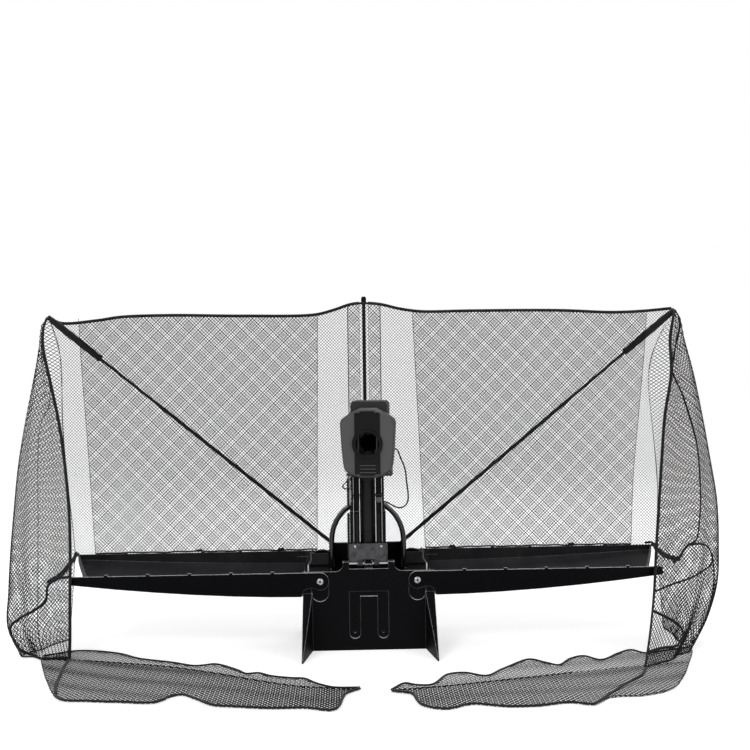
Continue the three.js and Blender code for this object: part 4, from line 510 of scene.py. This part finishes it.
# Where the two layers hang, in depth; their feet; and where their upright edges and their top hems end.
BACK_PLANE, INNER_PLANE = 0.1882, 0.1718
NET_FOOT, INNER_FOOT = 0.208, 0.2165
EDGE_TOP, HEM_TOP = 0.864, 0.865
BACK_START = 0.012
SIDES = (("left", -1), ("right", 1))


def hang(side, depth, billow):
    """An upright cloth: a point is (side x across, depth + billow, up), the billow two slow waves."""
    def place(across, up):
        wave = billow * (0.5 + 0.3 * np.sin(9 * across + 4 * up) + 0.2 * np.sin(23 * across - 7 * up))
        return np.stack([side * across, depth + wave, up], -1)
    return place


def tape(place, across, up, half, thick=0.0009, facing=(0, 1, 0)):
    """A hem: the line (across, up) on the cloth as a flat bar, `half` each way and `thick` to each face."""
    path = place(np.asarray(across, float), np.asarray(up, float))
    ahead = unit(np.gradient(path, axis=0))
    return rail(path, half, thick, unit(np.cross(ahead, np.asarray(facing, float))), 6)


def strung(name, yarns, tapes, stands_for, **sheet):
    """A net of yarn and its hems of tape: two pieces that stand for one node."""
    made = piece(name, yarns, net_yarn, "base")
    hem = piece(name.replace("_net", "_hem"), joined(*tapes), net_tape, "base")
    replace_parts(made, stands_for)
    return made, hem


def gather(pieces):
    """Gives each piece its own copy of its mesh."""
    for made in pieces:
        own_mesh(made)


# Where the net is knotted to the tray's rear wall, by side.
knots_at = {"left": (0.2381, 0.4643), "right": (0.2366, 0.5696, 0.7860)}


def tray_knots(name, side):
    """Small bows of tape: short bars along the hem, pinched in the middle and drawn thin at both ends."""
    along = np.linspace(-1, 1, 17)
    bow = 0.25 + np.abs(np.sin(math.pi * along)) * 0.75 + 0.5 * np.exp(-(along / 0.2) ** 2)
    return [rail(np.stack([side * at + 0.0095 * along, 0.1684 + 0 * along, 0.2196 + 0.0012 * along], -1),
                 0.0038, 0.0026, (0, 0, 1), 8, bow) for at in knots_at[name]]


def hung_nets():
    for name, side in SIDES:
        top, edge, start, end = top_hem[name], back_edge[name], inner_start[name], inner_end[name]
        place = hang(side, BACK_PLANE, 0.003)
        across = np.linspace(BACK_START, edge(HEM_TOP), 170)
        up = np.linspace(NET_FOOT, EDGE_TOP, 90)
        foot = np.linspace(BACK_START, edge(NET_FOOT), 90)
        yarns = netting(place, ((0.0, 0.9), (NET_FOOT, 0.92)),
                        cut(flat(BACK_START), edge, flat(NET_FOOT), top), make=BACK)
        tapes = [tape(place, across, top(across), 0.0042, 0.0016),
                 tape(place, edge(up), up, 0.0006, 0.0005),
                 tape(place, foot, np.full(90, NET_FOOT), 0.002)]
        gather(strung(f"back_net_{name}", yarns, tapes, f"net_back_{name}", flat=(0.89, 0.70), held="hung",
                      rests_on=[f"pole_tube_{name}", f"pole_rod_{name}"], area=0.545))

        place = hang(side, INNER_PLANE, -0.003)
        across = np.linspace(start(HEM_TOP), end(HEM_TOP), 110)
        up = np.linspace(INNER_FOOT, EDGE_TOP, 90)
        foot = np.linspace(start(INNER_FOOT), end(INNER_FOOT), 120)
        yarns = netting(place, ((0.1, 0.8), (INNER_FOOT, 0.92)),
                        cut(start, end, flat(INNER_FOOT), lambda a: top(a) - 0.001), 0.5)
        uneven = INNER_FOOT + 0.0012 * np.sin(70 * foot) * np.sin(31 * foot)
        tapes = [tape(place, across, top(across), 0.0024, 0.0010),
                 tape(place, start(up), up, 0.0006, 0.0005),
                 tape(place, end(up), up, 0.0006, 0.0005),
                 tape(place, foot, uneven, 0.0022, 0.0014)]
        gather(strung(f"inner_net_{name}", yarns, tapes + tray_knots(name, side), f"net_inner_{name}",
                      flat=(0.67, 0.66), held="hung", rests_on=[f"pole_tube_{name}"], area=0.40))

    # The middle strip of the second layer; its top rises to a low peak.
    place = hang(1, INNER_PLANE, -0.002)
    half, foot = 0.045, 0.243
    peak = lambda a: 0.898 - 0.1 * np.abs(a)
    up, across = np.linspace(foot, 0.893, 60), np.linspace(-half, half, 14)
    yarns = netting(place, ((-0.05, 0.05), (0.242, 0.9)), cut(flat(-half), flat(half), flat(foot), peak))
    tapes = [tape(place, np.full(60, -half), up, 0.0012), tape(place, np.full(60, half), up, 0.0012),
             tape(place, across, peak(across), 0.003, 0.0012), tape(place, across, np.full(14, foot), 0.0014)]
    strung("centre_net", yarns, tapes, "net_centre", flat=(0.09, 0.656), held="hung",
           rests_on=["centre_pole"])


hung_nets()

# Side curtains. Each row: height, back edge, fold (outward, forward), front hem (outward, forward).
curtain_rows = {
    "left": [(869, 866, 872, 176, 869, 174), (848, 862, 886, 173, 877, 165), (789, 845, 890, 154, 876, 147),
             (691, 839, 904, 124, 848, 113), (581, 838, 924, 102, 815, 73), (471, 832, 941, 84, 791, 36),
             (350, 822, 949, 58, 769, -12), (240, 812, 954, 36, 757, -53), (150, 806, 950, 6, 751, -83),
             (70, 802, 941, -30, 746, -105), (3, 800, 890, -70, 747, -110)],
    "right": [(869, 866, 872, 176, 869, 174), (848, 862, 886, 173, 862, 162),
              (789, 826, 895, 154, 848, 147), (691, 799, 914, 124, 839, 113), (581, 805, 932, 102, 808, 73),
              (471, 815, 947, 84, 787, 36), (350, 822, 959, 58, 763, -12), (240, 818, 955, 36, 742, -53),
              (150, 812, 940, 6, 724, -93), (70, 806, 893, -45, 690, -170), (3, 800, 804, -145, 645, -270)],
}
FOLD_SHARE = 0.45


def curtain(name, side):
    """A curtain as a function of (share, height): at each height the section runs straight from the back
    edge, at share 0, to the fold, at share 0.45, and on to the front hem, at share 1. The fold itself is a
    hyperbola. Three soft folds wave both legs along their normals."""
    rows = traced(curtain_rows[name][::-1], 0.004)
    rows = rows[np.argsort(rows[:, 0])]

    def section(share, up):
        edge, fold_x, fold_y, hem_x, hem_y = [np.interp(up, rows[:, 0], rows[:, k]) for k in range(1, 6)]
        edge_y = np.where(up > 0.218, 0.1868, 0.1868 - (0.218 - up) * 0.5)
        past = share - FOLD_SHARE
        bend = np.hypot(past, 0.05)
        legs = []
        for way, length in ((-1, FOLD_SHARE), (1, 1 - FOLD_SHARE)):
            legs.append(((past + way * bend) / 2 / length, (1 + way * past / bend) / 2 / length))

        def bent(start, fold, end):
            """The place along one axis, and its slope: the fold's, and each leg's reach times its share."""
            return [fold * (k == 0) + (fold - start) * legs[0][k] + (end - fold) * legs[1][k] for k in (0, 1)]

        x, dx = bent(edge, fold_x, hem_x)
        y, dy = bent(edge_y, fold_y, hem_y)
        size = np.hypot(dx, dy)
        wave = 0.008 * np.sin(2 * math.pi * (3 * share + 0.6 * up)) * np.sin(math.pi * np.clip(share, 0, 1))
        wave = wave * np.clip(1.1 - up, 0, 1) * np.clip(np.abs(past) / 0.15, 0, 1)
        return np.stack([side * (x - dy / size * wave), y + dx / size * wave, up], -1)

    heights = np.linspace(0.003, 0.869, 120)
    grid = section(*np.meshgrid(np.linspace(0, 1, 41), heights))
    lengths = np.linalg.norm(np.diff(grid, axis=1), axis=2).sum(1)
    girth = lambda up: np.interp(up, heights, lengths)
    place = lambda across, up: section(across / girth(up), up)
    return section, place, girth


# Hem lines on the curtains, as (share, height): the second hem, and the low hem with its loops.
second_hem = {
    "left": [(1000, 700), (900, 635), (750, 592), (715, 557), (720, 425), (743, 240), (755, 128),
             (758, 20)],
    "right": [(565, 867), (638, 822), (907, 746), (990, 707), (755, 631), (672, 564), (628, 497),
              (640, 397), (665, 307), (690, 258), (750, 246), (662, 245), (565, 230), (530, 203),
              (545, 187), (655, 173), (805, 158), (1000, 144)],
}
low_hem = {
    "left": [(1000, 203), (875, 192), (815, 171), (810, 145), (745, 121), (590, 93), (500, 67), (487, 45),
             (508, 22), (657, 7.5), (825, 6), (1000, 10)],
    "right": [(1000, 105), (828, 78), (760, 64), (682, 38), (723, 29), (840, 29), (1000, 30)],
}
second_width = {"left": 0.0010, "right": 0.0028}
curtain_area = {"left": 0.24, "right": 0.28}
# Cloth tied up at the ends of the trays: where each bundle meets the curtain, as (share, height in metres)
tied_at = {"left": (0.83, 0.186), "right": (0.82, 0.214)}
# More lines on a curtain, each with half its width in metres
side_lines = {
    "left": [],
    "right": [([(750, 246), (785, 232), (810, 217), (860, 205)], 0.0040),
              ([(530, 203), (515, 170), (500, 120), (480, 70), (455, 12)], 0.0024)],
}


def side_curtains():
    for name, side in SIDES:
        section, place, girth = curtain(name, side)
        upright, level = np.linspace(0.005, 0.868, 12), np.linspace(0.0, 1.0, 12)
        lines = [(through([(1.0, z) for z in upright], 0.012), 0.0048),
                 (through([(0.0, z) for z in upright], 0.012), 0.0006),
                 (traced(second_hem[name], 0.008), second_width[name]),
                 (traced(low_hem[name], 0.008), 0.0036),
                 (through([(s, 0.0045) for s in level], 0.02), 0.0018),
                 (through([(s, 0.867) for s in np.linspace(0.0, 1.0, 8)], 0.08), 0.0030)]
        lines += [(traced(path, 0.008), half) for path, half in side_lines[name]]
        bars = []
        step = 1e-3
        for path, half in lines:
            run = section(path[:, 0], path[:, 1])
            low = np.clip(path[:, 0] - step, 0, 1)
            out = unit(np.cross(section(low + step, path[:, 1]) - section(low, path[:, 1]), (0, 0, 1))) * side
            ahead = unit(np.gradient(run, axis=0))
            bars.append(rail(run + out * 0.0012, half, 0.0010 + half / 5, unit(np.cross(ahead, out)), 6))
        # The bundle: three thick strands that twist about the line from the tray's end to the curtain.
        start, end = np.array([side * 0.799, 0.170, 0.216]), section(*tied_at[name])
        share = np.linspace(0, 1, 60)[:, None]
        for turn in range(3):
            angle = 2 * math.pi * (1.5 * share + turn / 3)
            strand = start + (end - start) * share - (0, 0, 0.012) * np.sin(math.pi * share)
            strand = strand + 0.0035 * np.concatenate([np.cos(angle), 0 * angle, np.sin(angle)], 1)
            swell = 1 + 0.25 * np.sin(40 * share[:, 0] + turn)
            bars.append(rail(strand, 0.0036, 0.0030, (0, 0, 1), 8, swell))
        yarns = netting(place, ((0.0, 0.44), (0.0, 0.87)), cut(flat(0.0), girth, flat(0.004), flat(0.867)),
                        make=SIDE[name])
        gather(strung(f"side_net_{name}", yarns, bars, f"net_wing_{name}", flat=(0.44, 0.87), held="gathered",
                      rests_on=[f"pole_rod_{name}"], area=curtain_area[name]))


side_curtains()

# Strips on the table, as (outward, forward): the rear hem, the front hem, the edge of the cloth folded over
strip_rear = {
    "left": line([(26, 362), (87, 358), (126, 327), (157, 289), (187, 283), (235, 265), (268, 241),
                  (295, 244), (317, 218), (379, 167), (402, 173), (426, 176), (486, 146), (575, 108),
                  (634, 62), (708, 34), (762, 33), (824, 70)]),
    "right": line([(40, 384), (75, 337), (98, 351), (132, 354), (178, 283), (218, 274), (265, 297),
                   (309, 254), (388, 180), (423, 210), (447, 232), (487, 181), (525, 162), (558, 197),
                   (614, 146), (655, 120), (681, 150), (740, 130), (806, 110)]),
}
strip_front = {
    "left": line([(26, 366), (60, 400), (84, 497), (148, 481), (218, 479), (289, 467), (347, 453),
                  (390, 408), (423, 380), (443, 388), (472, 428), (552, 419), (633, 407), (679, 400),
                  (708, 365), (754, 266), (791, 174), (824, 84)]),
    "right": line([(40, 388), (85, 408), (103, 483), (154, 505), (209, 480), (284, 500), (351, 499),
                   (419, 483), (466, 500), (515, 456), (587, 450), (662, 411), (715, 330), (750, 257),
                   (801, 140), (806, 118)]),
}
strip_fold = {
    "left": line([(26, 368), (150, 350), (250, 305), (360, 240), (486, 178), (600, 142), (700, 115),
                  (824, 75)]),
    "right": line([(40, 386), (132, 372), (250, 345), (380, 310), (510, 275), (640, 245), (806, 215)]),
}
strip_reach = {"left": (0.028, 0.822), "right": (0.042, 0.803)}
strip_size = {"left": ((0.80, 0.66), 0.33), "right": ((0.77, 0.53), 0.28)}
# Each curtain's front hem runs on across the table to the strip's front hem.
hem_run = {
    "left": [(747, 110), (744, 165), (736, 215), (724, 295), (706, 362)],
    "right": [(645, 270), (628, 308), (588, 353), (520, 435), (466, 500)],
}
hem_meets = {"left": 0.706, "right": 0.466}


def floor_strips():
    for name, side in SIDES:
        rear, fold = strip_rear[name], strip_fold[name]
        front = lambda a: np.maximum(strip_front[name](a), rear(a) + 0.002)
        low, high = strip_reach[name]

        def laid(level):
            """Cloth on the table: (side x outward, -forward, level + long low folds that run along it)."""
            def place(across, ahead):
                deep = np.sin(2 * math.pi * (ahead - fold(across)) / 0.093 + 1.6 * np.sin(9 * across))
                return np.stack([side * across, -ahead, level + 0.0005 * (1 + deep)], -1)
            return place

        reach, ends = ((low, high), (0.03, 0.52)), (flat(low), flat(high))
        folded = lambda a: np.maximum(fold(a), rear(a))
        yarns = joined(netting(laid(0.0012), reach, cut(*ends, rear, front), make=STRIP),
                       netting(laid(0.0040), reach, cut(*ends, folded, front), 0.5, make=STRIP))
        place, up = laid(0.0046), (0, 0, 1)
        across = np.linspace(low, high, 160)
        near, far = across[across < hem_meets[name] + 0.004], across[across > hem_meets[name] - 0.004]
        run = traced(hem_run[name], 0.006)
        tapes = [tape(place, across, rear(across), 0.0038, 0.0022, up),
                 tape(place, near, front(near), 0.0038, 0.0022, up),
                 tape(place, far, front(far), 0.0014, 0.0010, up),
                 tape(place, near, np.clip(fold(near), rear(near), front(near)), 0.0012, 0.0010, up),
                 tape(place, run[:, 0], run[:, 1], 0.0042, 0.0024, up)]
        flat_size, area = strip_size[name]
        gather(strung(f"floor_net_{name}", yarns, tapes, f"net_flap_{name}", flat=flat_size, held="laid",
                      rests_on=[], area=area))


floor_strips()


# Pockets of the net at the ends of the slanting poles, which rise from the pivots beside the hopper
SLOPE = math.radians(39.5)


def pole_pockets():
    """A sewn pocket round each pole end: a closed tube whose radius swells to the middle, with a rolled
    mouth. Its wrinkles are two waves of the radius, one mostly along the tube and one that winds round it."""
    def wrinkle(distance, angle):
        return 1 + 0.07 * np.sin(210 * distance + 2 * np.sin(angle)) * np.sin(3 * angle + 40 * distance)

    run = np.linspace(0.8395, 1.014, 36)
    share = (run - run[0]) / (run[-1] - run[0])
    swell = 0.0024 * np.sin(math.pi * share) ** 0.4
    mouth = 0.0008 * np.exp(-((share - 0.02) / 0.02) ** 2)
    outer = np.stack([run, 0.0074 + swell + mouth], 1)
    inner = np.stack([run[[-1, 0]], np.full(2, 0.0044)], 1)
    for name, side in SIDES:
        foot, ahead = (side * 0.08, 0.180, 0.218), (side * math.cos(SLOPE), 0, math.sin(SLOPE))
        shape = turned(foot, ahead, np.vstack([outer, inner]), 20, wrinkle, closed=True)
        pocket = piece(f"pole_pocket_{name}", shape, pocket_cloth, f"{name}_rod")
        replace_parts(pocket, f"pole_sleeve_{name}")


pole_pockets()

# Rigid parts: each node's own surface with its loose triangles joined, so that round walls shade smoothly.
part_finish = {
    "base_housing": satin_black, "base_plate": deep_black, "rear_cover": satin_black,
    "hopper_bowl": deep_black, "lift_elbow": deep_black, "feed_disc": slate_face, "feed_gear": white_nylon,
    "feed_pinion": plain_brass, "feed_motor": bright_steel, "control_board": board_green,
    "control_socket": deep_black, "power_socket": deep_black, "hopper_bridge": satin_black,
    "carry_handle": tube_black, "hinge_axle": bright_steel, "centre_pole_socket": deep_black,
    "centre_pole": pole_black, "centre_pole_cap": deep_black, "pivot_screw_left": screw_steel,
    "pivot_screw_right": screw_steel, "tray_left": tray_black, "tray_right": tray_black,
    "pole_tube_left": pole_black, "pole_tube_right": pole_black, "pole_rod_left": pole_black,
    "pole_rod_right": pole_black, "foot_plate": foot_slate, "lower_mast": mast_sheet,
    "lower_duct": duct_black, "conduit_lower": cable_rubber, "upper_mast": mast_sheet,
    "upper_duct": duct_black, "conduit_upper": cable_rubber, "lock_knob": knob_steel,
    "head_yoke": slate_sheet, "tilt_knob": deep_black, "head_chassis": slate_sheet,
    "head_front_shell": slate_face, "front_fascia": gloss_black, "outlet_ring": ring_black,
    "head_rear_cover": cover_grey, "head_elbow": deep_black, "upper_wheel": wheel_rubber,
    "lower_wheel": wheel_rubber, "upper_motor": bright_steel, "lower_motor": bright_steel,
}
# Edges bent by more than this stay sharp, or take a bevel.
CRISP = math.radians(32)
# Widths of the small bevels on moulded and sheet parts; the others keep the edges that they have.
bevel_widths = {
    "base_housing": 0.0008, "rear_cover": 0.0006, "hopper_bridge": 0.0008, "tray_left": 0.0007,
    "tray_right": 0.0007, "foot_plate": 0.0006, "head_front_shell": 0.0006, "head_rear_cover": 0.0008,
    "head_yoke": 0.0004, "front_fascia": 0.0005, "outlet_ring": 0.0004, "lower_mast": 0.0004,
    "upper_mast": 0.0004,
}


def finish_parts():
    """A copy of each node's mesh, its loose triangles joined and flat fields cleared of inner edges. Edges
    bent by more than CRISP stay sharp, or take a small bevel, and round walls shade smoothly."""
    for name, finish in part_finish.items():
        source = frame["nodes"][name]
        mesh = source.data.copy()
        mesh.name = f"{name}_surface"
        work = bmesh.new()
        work.from_mesh(mesh)
        bmesh.ops.remove_doubles(work, verts=work.verts, dist=1e-5)
        bmesh.ops.dissolve_limit(work, angle_limit=math.radians(0.4), verts=work.verts, edges=work.edges)
        work.to_mesh(mesh)
        work.free()
        mesh.materials.clear()
        mesh.materials.append(finish)
        mesh.polygons.foreach_set("material_index", np.zeros(len(mesh.polygons), np.int32))
        mesh.polygons.foreach_set("use_smooth", np.ones(len(mesh.polygons), bool))
        mesh.set_sharp_from_angle(angle=CRISP)
        made = bpy.data.objects.new(f"{name}_finished", mesh)
        scene.collection.objects.link(made)
        if name in bevel_widths:
            bevel = made.modifiers.new("bevel", "BEVEL")
            bevel.width = bevel_widths[name]
            bevel.segments = 2
            bevel.limit_method = "ANGLE"
            bevel.angle_limit = CRISP
            bevel.harden_normals = True
        shade = made.modifiers.new("shade", "WEIGHTED_NORMAL")
        shade.keep_sharp = True
        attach(made, body_of(source)[0])
        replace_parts(made, name)
        source.data.materials.clear()
        source.data.materials.append(finish)


finish_parts()


# Small fittings
def button_screw(foot, ahead, radius, height, socket):
    """A domed screw head: the profile rises from its rim in a quarter of a blunt ellipse, and drops into a
    round socket."""
    bend = np.linspace(0, math.pi / 2, 7)
    dome = [(height * math.sin(a), radius * math.cos(a) ** 0.7) for a in bend[:-1]]
    dome = [p for p in dome if p[1] > socket * 1.1] + [(height, socket * 1.1), (height * 0.97, socket)]
    profile = [(0, 0), (0, radius)] + dome + [(height * 0.35, socket * 0.96), (height * 0.3, 0)]
    return turned(foot, ahead, profile, 24)


def plate(outline, thick, place):
    """A closed plate: the outline, a list of (a, b), drawn `thick` deep by place(a, b, depth)."""
    count = len(outline)
    a, b = np.array(outline, float).T
    points = np.concatenate([place(a, b, np.full(count, depth)) for depth in (0.0, thick)])
    here = np.arange(count)
    return points, [bands(0, count, count), here[None, ::-1], here[None] + count]


# The trays' pivots: outward and up
PIVOT = (0.124, 0.178)


def tray_aprons():
    """Dark plates that close the gap between the base and each tray's inner end, behind the way of the balls.
    Their upper outer corners are rounded about the tray's pivot, so that the tray can swing past them."""
    def box(near, far, low, high):
        return [(near, low), (far, low), (far, high), (near, high)]

    for name, side in SIDES:
        def upright(depth):
            return lambda a, b, d: np.stack([side * a, depth + d, b], -1)

        def lying(a, b, d):
            return np.stack([side * a, b, 0.1802 + d], -1)

        bend = np.radians(np.linspace(0, 49, 9))
        corner = [(PIVOT[0] + 0.0464 * math.cos(t), PIVOT[1] + 0.0464 * math.sin(t)) for t in bend]
        rounded = [(0.106, 0.1803)] + [(a, max(b, 0.1803)) for a, b in corner] + [(0.106, corner[-1][1])]
        shape = joined(
            plate(box(0.106, 0.1713, 0.146, 0.1805), 0.002, upright(0.1412)),
            plate(rounded, 0.002, upright(0.1310)),
            plate(box(0.106, 0.1713, 0.131, 0.1432), 0.0016, lying),
            plate(box(0.146, 0.1765, 0.186, 0.2135), 0.0018, upright(0.1704)))
        piece(f"tray_apron_{name}", shape, apron_painted_light, "base", smooth=False)


def tie_cords():
    """A cord runs from the foot of each net over the tray's inner end to a white hook on the front edge."""
    for name, side, x in (("left", -1, 0.154), ("right", 1, 0.149)):
        run = np.linspace(0, 1, 40)[:, None]
        rear, front = np.array([side * 0.151, 0.168, 0.2165]), np.array([side * x, -0.050, 0.2125])
        path = rear * (1 - run) + front * run - (0, 0, 0.004) * np.sin(math.pi * run)
        path = path + side * 0.002 * np.array([1, 0, 0]) * np.sin(9 * run)
        cord = rail(path, 0.0021, 0.0021, (1, 0, 0), 8)
        tie = piece(f"tie_cord_{name}", cord, net_tape, "base")
        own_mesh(tie)
        hook = [(side * x, -0.0500, z) for z in np.linspace(0.2005, 0.2135, 6)]
        hook += [(side * x, -0.0500 + 0.004 * math.sin(t), 0.2135 + 0.0022 * (1 - math.cos(t)))
                 for t in np.linspace(0.3, 2.6, 8)]
        piece(f"tie_hook_{name}", rail(hook, 0.0016, 0.0010, (1, 0, 0), 8), white_nylon, "base")


def small_fittings():
    """Thin bright steel strips on the masts' channel edges, painted highlights that stand for the glints of
    the sheet's edges; the screws of the foot plate, three plain ribs on the head's dark band, and the sockets
    in the trays' bolts."""
    # Painted highlights: thin steel strips laid where the mast's sheet edges glint.
    for name, body, low, high, front in (
            ("lower", "tower", 0.2640, 0.3925, 0.0329), ("upper", "mast", 0.3935, 0.4390, 0.0291)):
        bars = [rail([(x, -front, z) for z in np.linspace(low, high, 12)], half, 0.0004, (1, 0, 0), 8)
                for x, half in ((-0.0205, 0.0009), (0.0205, 0.0009), (-0.0365, 0.0005), (0.0365, 0.0005))]
        piece(f"{name}_painted_glint_strips", joined(*bars), bright_steel, body)
    screws = [button_screw((side * 0.0338, -0.0380, 0.2612), (0, -1, 0), 0.0031, 0.0017, 0.0013)
              for side in (-1, 1)]
    piece("foot_plate_screws", joined(*screws), bright_steel, "tower")
    ribs = [rail([(x, -0.0989 - 0.115 * x - 0.0002, z) for x in np.linspace(-0.0195, 0.0205, 12)],
                 0.0010, 0.0006, (0, 0, 1), 8) for z in (0.4575, 0.4665, 0.4752)]
    piece("fascia_ribs", joined(*ribs), slate_face, "head")
    sunk = [(0, 0), (0, 0.0026), (0.0023, 0.0026), (0.0023, 0)]
    sockets = [turned((side * PIVOT[0], -0.0640, PIVOT[1]), (0, -1, 0), sunk, 6) for side in (-1, 1)]
    piece("bolt_sockets", joined(*sockets), deep_black, "base", smooth=False)


tray_aprons()
tie_cords()
small_fittings()


# Floor, backdrop and lights
def seen_by(tree, other):
    """1 for the camera's rays and for those of another kind, 0 for the rest."""
    ray = node(tree, "ShaderNodeLightPath")
    kinds = {0: ray.outputs["Is Camera Ray"], 1: ray.outputs[other]}
    return node(tree, "ShaderNodeMath", kinds, operation="MAXIMUM").outputs[0]


def pale(name, colour, glow):
    """Plain paint that also glows a little to the camera and in reflections."""
    made, tree = blank(name)
    paint = node(tree, "ShaderNodeBsdfDiffuse", Color=(*colour, 1)).outputs[0]
    shine = node(tree, "ShaderNodeEmission", Color=(1, 1, 1, 1), Strength=glow).outputs[0]
    both = node(tree, "ShaderNodeAddShader", {0: paint, 1: shine}).outputs[0]
    mixed = node(tree, "ShaderNodeMixShader", {0: seen_by(tree, "Is Glossy Ray"), 1: paint, 2: both})
    node(tree, "ShaderNodeOutputMaterial", {"Surface": mixed.outputs[0]})
    return made


def stage():
    half = 14.0
    points = np.array([(-half, -half, 0), (half, -half, 0), (half, half, 0), (-half, half, 0)], float)
    mesh = bpy.data.meshes.new("studio_floor")
    mesh.from_pydata(points.tolist(), [], [(0, 1, 2, 3)])
    mesh.materials.append(pale("studio floor", (0.86, 0.86, 0.86), 0.55))
    floor = bpy.data.objects.new("studio_floor", mesh)
    scene.collection.objects.link(floor)
    world = bpy.data.worlds.new("studio")
    scene.world = world
    world.use_nodes = True
    tree = world.node_tree
    tree.nodes.clear()
    light = node(tree, "ShaderNodeBackground", Color=(0.97, 0.98, 1.0, 1), Strength=0.55).outputs[0]
    white = node(tree, "ShaderNodeBackground", Color=(1, 1, 1, 1), Strength=1.0).outputs[0]
    mixed = node(tree, "ShaderNodeMixShader", {0: seen_by(tree, "Is Transmission Ray"), 1: light, 2: white})
    node(tree, "ShaderNodeOutputWorld", {"Surface": mixed.outputs[0]})


def lamp(name, place, target, size, power):
    data = bpy.data.lights.new(name, "AREA")
    data.shape = "DISK"
    data.size = size
    data.energy = power
    made = bpy.data.objects.new(name, data)
    back = unit(np.array(place, float) - np.array(target, float))
    side = unit(np.cross((0, 0, 1), back))
    up = np.cross(back, side)
    made.matrix_world = Matrix([[side[i], up[i], back[i], place[i]] for i in range(3)] + [[0, 0, 0, 1]])
    scene.collection.objects.link(made)


stage()
lamp("key", (-1.5, -2.4, 2.4), (0, 0, 0.35), 1.3, 34)
lamp("fill", (2.2, -1.8, 1.6), (0, 0, 0.35), 1.6, 16)
lamp("rim", (0.5, 2.2, 2.4), (0, 0, 0.4), 1.4, 22)

scene.view_settings.view_transform = "Standard"
